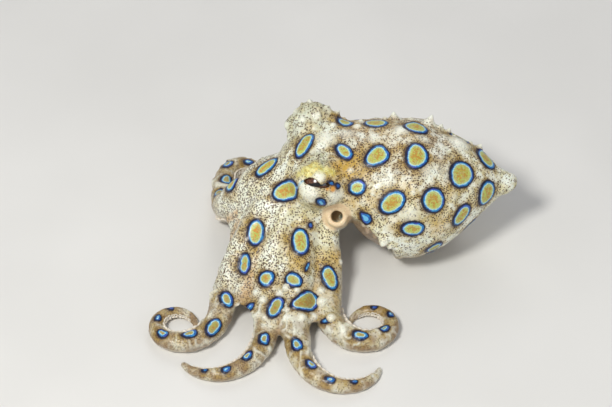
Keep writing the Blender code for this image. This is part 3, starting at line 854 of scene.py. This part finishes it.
still = ease((verts[:, 2] - 0.05) / 0.8)
slim = np.where((arm_of >= 0) & (best < 1.5), np.clip(np.interp(arm_s, [0, 30, 60, 72], [1, 1, 0.5, 0.3]), 0, 1), 1)
near_eye = np.ones(len(verts))
thin_lid = np.ones(len(verts))
for centre, gaze, across, over in EYES.values():
    off = verts - centre
    r = np.linalg.norm(off, axis=1)
    thin_lid *= 1 - ease((EYE_RADIUS + 1.1 - r) / 0.5)
    u, v, w = off @ across, off @ over, off @ gaze
    rim = np.hypot(u / 3.7, (v - 0.1) / 1.6)
    near_eye *= np.where(w > 0, ease((rim - 0.95) / 0.5), 1)
lift = np.where(lift < 0, lift * thin_lid, lift)
tube = np.linalg.norm(verts - FUNNEL_TIP, axis=1)
near_funnel = 1 - 0.85 * ease((6.0 - tube) / 2.5)
move = lift * still * slim * near_eye * near_funnel
verts = verts + normals * move[:, None]
verts[:, 2] = np.maximum(verts[:, 2], 0)
normals = normals_of(verts, quads)

# ---------------------------------------------------------------- masks for colour
off = verts - FUNNEL_TIP
along = off @ FUNNEL_DIR
away = np.sqrt(np.maximum((off**2).sum(1) - along**2, 0))
funnel_mask = ease((4.0 - away) / 0.9) * ease((along + 4.6) / 1.6) * ease((3 - along) / 1)
# painted shade: a mask for a darker brown inside the funnel's bore
bore_shade_mask = ease((FUNNEL_HOLE + 0.28 - away) / 0.35) * ease((along + 5.5) / 0.5) * ease((-0.35 - along) / 0.9)

edge = mantle_edge(verts[:, 1], verts[:, 2])
# painted shade: a mask for darker tan flesh in the hollow under the mantle's free edge
cavity_shade = (
    ease((edge - 0.1 - verts[:, 0]) / 1.0)
    * ease((verts[:, 0] + 17.0) / 3.0)
    * ease((18.0 - verts[:, 2]) / 3.0)
    * (arm_of * (best < 0.5) <= 0)
)
cavity_shade = cavity_shade * (1 - funnel_mask) * (1 - 0.35 * ease((verts[:, 1] + 3.0) / 8.0))

under = ease((-normals[:, 2] - 0.1) / 0.5) * (arm_of >= 0) * (best < 1.5)


def spot_mask(px, py, radius, soft=1.0):
    found = hit_pixel(px, py)
    if found is None:
        return np.zeros(len(verts))
    d = np.linalg.norm(verts - found[0], axis=1)
    return ease((radius + soft - d) / (2 * soft))


# yellow-brown areas: about the neck, the brow, and round many of the rings
ochre = np.zeros(len(verts))
for px, py, r, k in (
    (345, 168, 3.2, 1.0), (352, 161, 2.6, 1.0), (334, 173, 1.8, 0.9), (372, 200, 2.2, 0.6),
    (338, 166, 2.0, 1.0), (350, 173, 2.4, 0.9), (362, 172, 2.0, 0.6), (340, 178, 1.4, 0.9),
    (256, 248, 1.6, 0.8), (246, 222, 1.5, 0.7), (302, 258, 1.8, 0.8), (290, 250, 1.4, 0.7),
    (270, 282, 2.0, 0.5), (300, 285, 2.4, 0.5), (345, 270, 2.4, 0.5), (335, 300, 2.0, 0.4),
    (338, 258, 2.6, 0.8), (343, 290, 2.6, 0.7), (328, 296, 1.8, 0.5), (318, 288, 1.6, 0.5),
    (366, 148, 1.6, 0.5), (365, 215, 1.8, 0.5), (396, 148, 1.6, 0.4), (400, 135, 2.0, 0.3),
    (405, 190, 2.5, 0.5), (448, 190, 2.4, 0.4), (352, 203, 2.2, 0.7), (300, 262, 2.6, 0.8),
    (322, 262, 2.4, 0.6), (285, 240, 1.8, 0.6), (243, 232, 2.2, 0.6), (440, 226, 3.0, 0.6),
    (395, 226, 2.0, 0.5), (385, 133, 2.2, 0.4), (235, 262, 1.8, 0.4), (345, 190, 1.8, 0.5),
    (310, 168, 2.0, 0.5), (334, 174, 1.0, 1.0), (337, 180, 1.0, 1.0),
    (319, 113, 1.2, 0.4), (326, 114, 1.2, 0.5), (309, 123, 1.2, 0.4), (332, 119, 1.0, 0.5),
):
    ochre = np.maximum(ochre, k * spot_mask(px, py, r, 1.8))
    found = hit_pixel(px, py)
    if found is not None:
        c = found[0] * (1, -1, 1)
        d = np.linalg.norm(verts - c, axis=1)
        ochre = np.maximum(ochre, 0.8 * k * ease((r + 1.8 - d) / 3.6))
yellow = np.zeros(len(verts))
for px, py, r in (
    (298, 174, 0.9), (303, 171, 1.1), (309, 169.5, 1.2), (315, 169, 1.2), (321, 169, 1.2),
    (327, 171, 1.1), (308, 174, 0.9), (332, 172, 0.9), (314, 165.5, 1.0), (322, 173.5, 0.7),
):
    yellow = np.maximum(yellow, spot_mask(px, py, r, 0.9))
    found = hit_pixel(px, py)
    if found is not None:
        c = found[0] - EYE_L
        d = np.linalg.norm(verts - (EYE_R + c * (1, -1, 1)), axis=1)
        far_side = 0.6 * ease((normals[:, 1] - 0.35) / 0.4)
        yellow = np.maximum(yellow, far_side * ease((r + 0.9 - d) / 1.8))
orange = np.maximum(0.9 * spot_mask(327.5, 188.6, 0.4, 0.4), spot_mask(332.8, 189.0, 0.62, 0.4))
streak = np.zeros(len(verts))
for px, py in ((297.0, 187.5), (298.3, 185.6), (299.6, 183.8), (301.2, 182.4), (303.0, 181.2)):
    streak = np.maximum(streak, spot_mask(px, py, 0.24, 0.24))
# brown back of the mantle, and a darker brown on the lower side of the arms, partly algae growth and partly painted
# shade
back = ease((verts[:, 2] - 25.5) / 5.0) * ease((verts[:, 0] + 21.0) / 5.0)
low_arm_algae_and_shade = ease((11.5 - verts[:, 2]) / 9.0) * (arm_of >= 0) * (arm_s > 12)
low_ring = ease((15.0 - verts[:, 2]) / 9.0) * ease((-18.0 - verts[:, 0]) / 4.0)
low_ring = np.maximum(low_ring, low_arm_algae_and_shade)

# ---------------------------------------------------------------- suckers
sucker_v, sucker_f = [], []
PROFILE = (  # radius and height of a sucker's section, in its own radius
    (0.62, -0.75), (0.70, -0.2), (0.95, 0.06), (1.0, 0.26), (0.90, 0.40),
    (0.72, 0.36), (0.50, 0.10), (0.30, -0.06), (0.0, -0.10),
)
SEG = 12
made = 0
for name in arm_names:
    s, points, r = paths[name]
    t, side, up = arm_frames(paths[name])
    reach, length, curl = rows[name][4], rows[name][6], rows[name][7]
    inner = -1.0 if curl > 0 else 1.0  # the side that the curl turns to
    at, row_side = 15.0, 1
    while at < length - 2.0:
        k = int(at / STEP)
        rad = float(r[k])
        size = 0.35 * rad + 0.06
        roll = math.radians(74) * float(ease((at - reach + 8) / 16.0)) * inner
        a = roll + row_side * 0.52
        out = side[k] * math.sin(a) - up[k] * math.cos(a)
        c = points[k] + out * (rad + 0.16 * size)
        c[2] = max(c[2], 0.0)
        q = tracked(out)
        ring_points = []
        for pr, ph in PROFILE[:-1]:
            for j in range(SEG):
                ang = 2 * math.pi * j / SEG
                ring_points.append(
                    c + q @ np.array([pr * size * math.cos(ang), pr * size * math.sin(ang), ph * size])
                )
        ring_points.append(c + q @ np.array([0, 0, PROFILE[-1][1] * size]))
        ring_points.append(c + q @ np.array([0, 0, PROFILE[0][1] * size]))
        ring_points = np.array(ring_points)
        low = ring_points[:, 2].min()
        if low < 0.0:
            ring_points[:, 2] -= low
        base = made
        sucker_v.append(ring_points)
        n_rings = len(PROFILE) - 1
        for i in range(n_rings - 1):
            for j in range(SEG):
                j2 = (j + 1) % SEG
                sucker_f.append(
                    (base + i * SEG + j, base + i * SEG + j2, base + (i + 1) * SEG + j2, base + (i + 1) * SEG + j)
                )
        top = base + n_rings * SEG
        for j in range(SEG):
            j2 = (j + 1) % SEG
            sucker_f.append((base + (n_rings - 1) * SEG + j, base + (n_rings - 1) * SEG + j2, top))
            sucker_f.append((base + j2, base + j, top + 1))
        made += len(ring_points)
        row_side = -row_side
        at += size * 1.12
sucker_v = np.concatenate(sucker_v)
print("sucker vertices", len(sucker_v))

# ---------------------------------------------------------------- to the solids' frame
low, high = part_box("eye_left")
shift = (np.array(low) + np.array(high)) / 2 - EYE_L * 0.001


def placed(points):
    return np.asarray(points) * 0.001 + shift


def mesh_object(name, points, faces, smooth=True):
    mesh = bpy.data.meshes.new(name)
    mesh.from_pydata(placed(points).tolist(), [], faces)
    mesh.update()
    obj = bpy.data.objects.new(name, mesh)
    bpy.context.scene.collection.objects.link(obj)
    if smooth:
        mesh.shade_smooth()
    return obj


all_verts = np.concatenate([verts, sucker_v])
faces = quads.tolist() + [tuple(i + len(verts) for i in f) for f in sucker_f]
skin = mesh_object("skin", all_verts, faces)
pad = len(sucker_v)


def attribute(name, values, fill=0.0):
    data = np.concatenate([values, np.full(pad, fill)]).astype(np.float32)
    layer = skin.data.attributes.new(name, "FLOAT", "POINT")
    layer.data.foreach_set("value", data)


attribute("ring_d", ring_d, 6.0)
attribute("ring_kind", ring_kind)
attribute("ring_side", ring_side)
attribute("white", white)
attribute("ochre", ochre)
attribute("yellow", yellow)
attribute("orange", orange)
attribute("streak", streak)
attribute("cavity_shade", cavity_shade)
attribute("under", under)
attribute("funnel_mask", funnel_mask)
attribute("bore", bore_shade_mask)
attribute("sucker", np.zeros(len(verts)), 1.0)
attribute("lumps", rough)
attribute("back", back)
attribute("low_arm_algae_and_shade", low_arm_algae_and_shade)
attribute("low_ring", low_ring)
# painted shade: a mask for a darker tan in the valleys of the web between the arms
web_shade_mask = ease((best - 0.25) / 1.2) * (arm_of >= 0) * (arm_s > 10) * ease((3.5 - best) / 1.0)
web_shade_mask = web_shade_mask * (1 - ease((verts[:, 0] + 16.0) / 3.0))
attribute("web_shade_mask", web_shade_mask)
front = ease((-25.0 - verts[:, 0]) / 12.0)
attribute("front", front, 1.0)


# ---------------------------------------------------------------- materials
class Nodes:
    """Short names for building a shader."""

    def __init__(self, name):
        self.mat = bpy.data.materials.new(name)
        self.mat.use_nodes = True
        self.tree = self.mat.node_tree
        self.shader = self.tree.nodes["Principled BSDF"]
        coords = self.tree.nodes.new("ShaderNodeTexCoord")
        scale = self.tree.nodes.new("ShaderNodeVectorMath")
        scale.operation = "SCALE"
        scale.inputs["Scale"].default_value = 1000.0
        self.link(coords.outputs["Object"], scale.inputs[0])
        self.mm = scale.outputs[0]

    def link(self, a, b):
        self.tree.links.new(a, b)

    def attr(self, name):
        n = self.tree.nodes.new("ShaderNodeAttribute")
        n.attribute_name = name
        return n.outputs["Fac"]

    def put(self, socket, value):
        if isinstance(value, bpy.types.NodeSocket):
            self.link(value, socket)
        elif hasattr(value, "__len__"):
            socket.default_value = (*value, 1.0) if len(socket.default_value) == 4 and len(value) == 3 else value
        else:
            socket.default_value = value

    def math(self, op, a, b=0.0, c=0.0, clamp=False):
        n = self.tree.nodes.new("ShaderNodeMath")
        n.operation = op
        n.use_clamp = clamp
        self.put(n.inputs[0], a)
        self.put(n.inputs[1], b)
        if op in ("MULTIPLY_ADD", "SMOOTH_MIN", "COMPARE"):
            self.put(n.inputs[2], c)
        return n.outputs[0]

    def step(self, value, a, b, lo=0.0, hi=1.0):
        """A smooth step of value from a to b."""
        n = self.tree.nodes.new("ShaderNodeMapRange")
        n.interpolation_type = "SMOOTHSTEP"
        self.put(n.inputs["Value"], value)
        flip = a > b
        n.inputs["From Min"].default_value = min(a, b)
        n.inputs["From Max"].default_value = max(a, b)
        n.inputs["To Min"].default_value = hi if flip else lo
        n.inputs["To Max"].default_value = lo if flip else hi
        return n.outputs["Result"]

    def mix(self, fac, a, b, mode="MIX"):
        n = self.tree.nodes.new("ShaderNodeMix")
        n.data_type = "RGBA"
        n.blend_type = mode
        self.put(n.inputs[0], fac)
        self.put(n.inputs[6], a)
        self.put(n.inputs[7], b)
        return n.outputs[2]

    def noise(self, scale, detail=2.0, rough=0.5, shift=0.0):
        n = self.tree.nodes.new("ShaderNodeTexNoise")
        v = self.mm
        if shift:
            add = self.tree.nodes.new("ShaderNodeVectorMath")
            add.operation = "ADD"
            add.inputs[1].default_value = (shift, shift * 1.7, -shift)
            self.link(v, add.inputs[0])
            v = add.outputs[0]
        self.link(v, n.inputs["Vector"])
        n.inputs["Scale"].default_value = scale
        n.inputs["Detail"].default_value = detail
        n.inputs["Roughness"].default_value = rough
        return n.outputs["Fac"]

    def cells(self, scale, feature="F1", randomness=1.0, out="Distance"):
        n = self.tree.nodes.new("ShaderNodeTexVoronoi")
        n.feature = feature
        self.link(self.mm, n.inputs["Vector"])
        n.inputs["Scale"].default_value = scale
        n.inputs["Randomness"].default_value = randomness
        return n.outputs[out]

    def bump(self, height, strength, distance, normal=None):
        n = self.tree.nodes.new("ShaderNodeBump")
        n.inputs["Strength"].default_value = strength
        n.inputs["Distance"].default_value = distance
        self.put(n.inputs["Height"], height)
        if normal is not None:
            self.link(normal, n.inputs["Normal"])
        return n.outputs["Normal"]


def skin_material():
    m = Nodes("octopus_skin")
    big = m.noise(0.16, 2.0, 0.5)
    patch = m.noise(0.42, 3.0, 0.55, 7.0)
    mid = m.noise(1.1, 3.0, 0.6, 3.0)
    fine = m.noise(3.2, 2.0, 0.6, 11.0)

    # ground: cream, with paler raised patches and tan areas
    cream, pale, tan = (0.81, 0.765, 0.52), (0.95, 0.98, 0.86), (0.52, 0.435, 0.16)
    front = m.attr("front")
    rear = m.math("SUBTRACT", 1.0, m.math("MULTIPLY", front, 0.5))
    ground = m.mix(m.step(patch, 0.42, 0.57), cream, pale)
    ground = m.mix(m.math("MULTIPLY", m.step(big, 0.50, 0.66, 0.0, 0.52), rear), ground, tan)
    ground = m.mix(m.math("MULTIPLY", m.step(mid, 0.50, 0.70, 0.0, 0.42), rear), ground, (0.53, 0.46, 0.19))
    ground = m.mix(m.math("MULTIPLY", front, 0.30), ground, (0.96, 0.95, 0.80))
    brown = m.math("MULTIPLY", m.attr("back"), m.step(patch, 0.60, 0.40, 0.15, 0.75))
    ground = m.mix(brown, ground, (0.44, 0.31, 0.19))
    greenish = m.math("MULTIPLY", m.attr("lumps"), m.step(mid, 0.35, 0.6, 0.95, 0.45))
    ground = m.mix(greenish, ground, (0.44, 0.46, 0.31))
    # painted shade: a darker tan in the valleys of the web between the arms
    web_shade = m.math("MULTIPLY", m.attr("web_shade_mask"), m.step(mid, 0.3, 0.6, 0.35, 0.85))
    ground = m.mix(web_shade, ground, (0.68, 0.43, 0.185))
    # darker brown low on the arms: partly algae growth, partly painted shade
    low = m.math("MULTIPLY", m.attr("low_arm_algae_and_shade"), m.step(m.noise(0.3, 2.0, 0.5, 31.0), 0.36, 0.60, 0.35, 0.95))
    ground = m.mix(low, ground, (0.30, 0.185, 0.085))
    warm = m.math("MULTIPLY", m.attr("ochre"), m.step(mid, 0.25, 0.6, 0.72, 1.0))
    ground = m.mix(warm, ground, (0.60, 0.37, 0.055))
    yellow = m.math("MULTIPLY", m.attr("yellow"), m.step(fine, 0.3, 0.55, 0.75, 1.0))
    ground = m.mix(yellow, ground, m.mix(m.step(mid, 0.40, 0.60), (0.84, 0.80, 0.30), (0.74, 0.60, 0.10)))

    # halo of yellow brown round each ring
    wobble = m.math("MULTIPLY_ADD", m.noise(1.0, 2.0, 0.5, 5.0), 0.44, -0.22)
    wobble = m.math("ADD", wobble, m.math("MULTIPLY_ADD", m.noise(3.4, 1.0, 0.5, 9.0), 0.22, -0.11))
    d = m.math("ADD", m.attr("ring_d"), wobble)
    lean = m.math("MULTIPLY", m.attr("ring_side"), 0.5)
    halo = m.step(m.math("ADD", d, lean), 2.8, 0.1)
    halo = m.math("MULTIPLY", halo, m.step(patch, 0.66, 0.40, 0.30, 1.0))
    halo = m.math("MULTIPLY", halo, m.step(mid, 0.25, 0.60, 0.5, 1.0))
    ground = m.mix(m.math("MULTIPLY", halo, 0.90), ground, (0.44, 0.29, 0.055))
    close = m.math("MULTIPLY", m.step(m.math("ADD", d, m.math("MULTIPLY", lean, 0.5)), 0.90, 0.10), m.step(mid, 0.3, 0.6, 0.35, 0.9))
    ground = m.mix(close, ground, (0.13, 0.070, 0.022))

    # fine brown dots, closer together in some areas
    dense = m.math("ADD", m.step(patch, 0.62, 0.36), m.math("MULTIPLY", front, 1.0))
    dense = m.math("ADD", dense, m.math("MULTIPLY", halo, 0.6))
    dense = m.math("ADD", dense, m.math("MULTIPLY", m.attr("back"), 0.4))
    dense = m.math("ADD", dense, m.math("MULTIPLY", m.attr("lumps"), 0.4))
    cell = m.cells(2.5, randomness=0.85)
    cell_pick = m.cells(2.5, randomness=0.85, out="Color")
    dot = m.step(cell, 0.54, 0.38)
    pick = m.math("LESS_THAN", cell_pick, m.math("MULTIPLY_ADD", dense, 0.38, 0.27))
    dot = m.math("MULTIPLY", dot, pick)
    clear = m.math("SUBTRACT", 1.0, m.math("MULTIPLY", yellow, 0.8))
    clear = m.math("MULTIPLY", clear, m.step(m.attr("low_arm_algae_and_shade"), 0.1, 0.9, 1.0, 0.55))
    ground = m.mix(m.math("MULTIPLY", dot, clear), ground, (0.075, 0.036, 0.013))
    small = m.cells(4.2)
    small_dot = m.math("MULTIPLY", m.step(small, 0.40, 0.22), m.step(fine, 0.46, 0.58, 0.0, 0.8))
    ground = m.mix(m.math("MULTIPLY", small_dot, clear), ground, (0.20, 0.115, 0.045))

    # white raised spots
    w = m.math("MULTIPLY", m.attr("white"), m.step(fine, 0.30, 0.58, 0.55, 1.0))
    ground = m.mix(w, ground, (0.93, 0.94, 0.82))

    # rings: dark outline, blue band with a pale inner edge, mottled yellow and orange inside
    core = m.step(d, -1.35, -2.5, 0.0, 0.10)
    mottle = m.math("ADD", m.noise(1.7, 2.0, 0.65, 17.0), core)
    amber = m.mix(front, (0.53, 0.30, 0.045), (0.68, 0.29, 0.03))
    tan_in = m.mix(m.step(mottle, 0.48, 0.58), (0.51, 0.58, 0.12), amber)
    tan_in = m.mix(m.step(mid, 0.50, 0.66, 0.0, 0.55), tan_in, (0.58, 0.60, 0.26))
    rim = m.math("MULTIPLY", m.step(d, -1.55, -0.95), m.step(fine, 0.35, 0.60, 0.35, 0.85))
    tan_in = m.mix(rim, tan_in, (0.60, 0.66, 0.30))
    tan_in = m.mix(m.math("MULTIPLY", m.step(small, 0.36, 0.20), m.step(mid, 0.40, 0.58, 0.35, 0.95)), tan_in, (0.14, 0.08, 0.025))
    blue = m.mix(m.step(mid, 0.42, 0.62), (0.004, 0.080, 0.37), (0.008, 0.24, 0.60))
    tan_in = m.mix(m.math("MULTIPLY", m.attr("low_ring"), 0.5), tan_in, (0.29, 0.175, 0.055))
    blue = m.mix(m.step(m.noise(0.5, 1.0, 0.5, 21.0), 0.52, 0.66, 0.0, 0.75), blue, (0.05, 0.07, 0.50))
    pale_blue = m.mix(m.step(fine, 0.35, 0.6), (0.13, 0.52, 0.74), (0.50, 0.80, 0.84))
    spot_inner = m.mix(m.step(d, -0.72, -1.00), (0.010, 0.09, 0.38), (0.17, 0.54, 0.82))
    ring = m.mix(m.step(d, -0.78, -1.00), pale_blue, tan_in)
    ring = m.mix(m.attr("ring_kind"), ring, spot_inner)
    ring = m.mix(m.step(d, -0.58, -0.74), blue, ring)
    uneven = m.math("MULTIPLY_ADD", m.attr("ring_side"), -0.13, d)
    ring = m.mix(m.step(uneven, -0.22, -0.42), (0.004, 0.006, 0.030), ring)
    colour = m.mix(m.step(d, 0.28, 0.08), ground, ring)

    # a few small marks by the eye
    colour = m.mix(m.attr("orange"), colour, (0.72, 0.31, 0.03))
    colour = m.mix(m.attr("streak"), colour, (0.35, 0.62, 0.78))

    # funnel, painted shade in its bore and in the hollow under the mantle's edge, undersides, suckers
    flesh = m.mix(m.step(fine, 0.35, 0.65), (0.81, 0.60, 0.375), (0.90, 0.735, 0.49))
    colour = m.mix(m.attr("funnel_mask"), colour, flesh)
    # painted shade inside the funnel's bore
    colour = m.mix(m.attr("bore"), colour, (0.34, 0.25, 0.14))
    # painted shade in the hollow under the mantle's free edge: dark tan over the skin's colour
    colour = m.mix(m.math("MULTIPLY", m.attr("cavity_shade"), 0.85), colour, m.mix(m.step(mid, 0.35, 0.65), (0.25, 0.15, 0.09), (0.36, 0.24, 0.15)))
    pale_under = m.mix(m.step(mid, 0.35, 0.65), (0.68, 0.60, 0.48), (0.74, 0.68, 0.56))
    colour = m.mix(m.math("MULTIPLY", m.attr("under"), 0.8), colour, pale_under)
    cup = m.mix(m.step(fine, 0.35, 0.65), (0.74, 0.66, 0.55), (0.82, 0.76, 0.66))
    colour = m.mix(m.attr("sucker"), colour, cup)

    s = m.shader
    m.link(colour, s.inputs["Base Color"])
    rough = m.step(mid, 0.3, 0.7, 0.34, 0.50)
    m.link(rough, s.inputs["Roughness"])
    s.inputs["Specular IOR Level"].default_value = 0.45
    s.inputs["Subsurface Weight"].default_value = 0.12
    s.inputs["Subsurface Radius"].default_value = (0.0010, 0.0007, 0.0005)
    s.inputs["Subsurface Scale"].default_value = 1.0
    s.inputs["Coat Weight"].default_value = 0.22
    s.inputs["Coat Roughness"].default_value = 0.22
    grain = m.math("ADD", m.math("MULTIPLY", m.noise(2.4, 3.0, 0.6, 15.0), 0.7), m.math("MULTIPLY", m.cells(1.5), 0.3))
    m.link(m.bump(grain, 0.55, 0.00035), s.inputs["Normal"])
    return m.mat


def eye_material(centre, across, over):
    """Maroon iris with gold flecks and a dark level pupil, under a clear wet surface."""
    m = Nodes("octopus_eye")
    c = placed(centre) * 1000.0

    def along(direction):
        sub = m.tree.nodes.new("ShaderNodeVectorMath")
        sub.operation = "SUBTRACT"
        m.link(m.mm, sub.inputs[0])
        sub.inputs[1].default_value = tuple(float(v) for v in c)
        dot = m.tree.nodes.new("ShaderNodeVectorMath")
        dot.operation = "DOT_PRODUCT"
        m.link(sub.outputs[0], dot.inputs[0])
        dot.inputs[1].default_value = tuple(float(v) for v in direction)
        return dot.outputs["Value"]

    u, v = along(across), m.math("ADD", along(over), 0.05)
    fleck = m.noise(2.2, 4.0, 0.65)
    iris = m.mix(m.step(fleck, 0.42, 0.66), (0.050, 0.014, 0.010), (0.19, 0.07, 0.03))
    bright = m.step(m.noise(4.0, 2.0, 0.5, 4.0), 0.60, 0.72, 0.0, 0.6)
    iris = m.mix(bright, iris, (0.42, 0.28, 0.10))
    away = m.math("ABSOLUTE", v)
    end = m.math("POWER", m.math("MULTIPLY", m.math("ABSOLUTE", u), 0.36), 2.0)
    slot = m.math("ADD", m.math("MULTIPLY", away, 1.8), end)
    pupil = m.step(slot, 1.0, 0.72)
    colour = m.mix(pupil, iris, (0.006, 0.004, 0.004))
    s = m.shader
    m.link(colour, s.inputs["Base Color"])
    m.link(m.step(fleck, 0.3, 0.7, 0.10, 0.20), s.inputs["Roughness"])
    s.inputs["Coat Weight"].default_value = 1.0
    s.inputs["Coat Roughness"].default_value = 0.14
    return m.mat


skin.data.materials.append(skin_material())
flesh_nodes = ["mantle", "head", "funnel"] + [
    f"{name}_{part}" for name in arm_names for part in ("base", "mid", "tip")
]
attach(skin, "root")
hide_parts(*flesh_nodes)

# eyeballs: a ball with a slightly raised clear front
for name, (centre, gaze, across, over) in EYES.items():
    n_u, n_v = 48, 28
    pts, fcs = [], []
    q = np.stack([across, over, gaze], axis=1)
    for i in range(1, n_v):
        polar = math.pi * i / n_v
        for j in range(n_u):
            a = 2 * math.pi * j / n_u
            bulge = 1 + 0.025 * math.exp(-((polar / 0.55) ** 2))
            p = np.array(
                [math.sin(polar) * math.cos(a), math.sin(polar) * math.sin(a), math.cos(polar)]
            )
            pts.append(centre + q @ (p * EYE_RADIUS * bulge))
    pts.append(centre + gaze * EYE_RADIUS * 1.025)
    pts.append(centre - gaze * EYE_RADIUS)
    for i in range(n_v - 2):
        for j in range(n_u):
            j2 = (j + 1) % n_u
            fcs.append((i * n_u + j, (i + 1) * n_u + j, (i + 1) * n_u + j2, i * n_u + j2))
    for j in range(n_u):
        j2 = (j + 1) % n_u
        fcs.append((j, j2, len(pts) - 2))
        fcs.append(((n_v - 2) * n_u + j2, (n_v - 2) * n_u + j, len(pts) - 1))
    if np.linalg.det(q) < 0:
        fcs = [f[::-1] for f in fcs]
    eye = mesh_object("ball_" + name, pts, fcs)
    eye.data.materials.append(eye_material(centre, across, over))
    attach(eye, "root")
    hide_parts(name)

# ---------------------------------------------------------------- floor, light, camera
floor_mesh = bpy.data.meshes.new("floor")
size = 1.2
curve = []
for i in range(13):
    a = math.pi / 2 * i / 12
    curve.append((0.55 + 0.25 * math.sin(a), 0.25 * (1 - math.cos(a))))
profile = [(-size, 0.0), (-0.2, 0.0), (0.2, 0.0)] + curve + [(0.8, 1.1)]
pts, fcs = [], []
for y, z in profile:
    pts += [(-size, y, z - 0.00002), (size, y, z - 0.00002)]
for i in range(len(profile) - 1):
    fcs.append((2 * i, 2 * i + 1, 2 * i + 3, 2 * i + 2))
floor_mesh.from_pydata(pts, [], fcs)
floor_obj = bpy.data.objects.new("floor", floor_mesh)
bpy.context.scene.collection.objects.link(floor_obj)
floor_mesh.shade_smooth()
paper = Nodes("floor_paper")
tone = paper.noise(0.02, 2.0, 0.5)
paper.link(
    paper.mix(paper.step(tone, 0.3, 0.7), (0.74, 0.73, 0.71), (0.78, 0.77, 0.75)),
    paper.shader.inputs["Base Color"],
)
paper.shader.inputs["Roughness"].default_value = 0.85
floor_mesh.materials.append(paper.mat)


def area_light(name, position, target, size, power, colour=(1, 1, 1)):
    data = bpy.data.lights.new(name, "AREA")
    data.shape = "DISK"
    data.size = size
    data.energy = power
    data.color = colour
    light = bpy.data.objects.new(name, data)
    light.location = position
    way = Vector(target) - Vector(position)
    light.rotation_euler = way.to_track_quat("-Z", "Y").to_euler()
    bpy.context.scene.collection.objects.link(light)
    return light


middle_point = (0.0, 0.0, 0.012)
area_light("key", (-0.16, -0.26, 0.42), middle_point, 0.11, 1.82, (1.0, 0.99, 0.94))
area_light("fill", (0.40, -0.30, 0.28), middle_point, 0.35, 0.35, (0.95, 0.97, 1.0))
area_light("back", (0.05, 0.42, 0.38), middle_point, 0.30, 0.55)

world = bpy.data.worlds.new("studio")
world.use_nodes = True
world.node_tree.nodes["Background"].inputs["Color"].default_value = (0.93, 0.95, 1.0, 1)
world.node_tree.nodes["Background"].inputs["Strength"].default_value = 0.34
bpy.context.scene.world = world

lens = 36.0 / (FRAME_PX[0] * MM_PER_PX) * DISTANCE
data = bpy.data.cameras.new("camera")
data.lens = lens
data.sensor_width = 36.0
data.clip_start = 0.01
data.clip_end = 10.0
camera = bpy.data.objects.new("camera", data)
camera.location = Vector(placed(CAMERA))
camera.rotation_euler = Vector(FORWARD).to_track_quat("-Z", "Y").to_euler()
bpy.context.scene.collection.objects.link(camera)
bpy.context.scene.camera = camera

bpy.context.scene.view_settings.view_transform = "Standard"
bpy.context.scene.view_settings.look = "None"
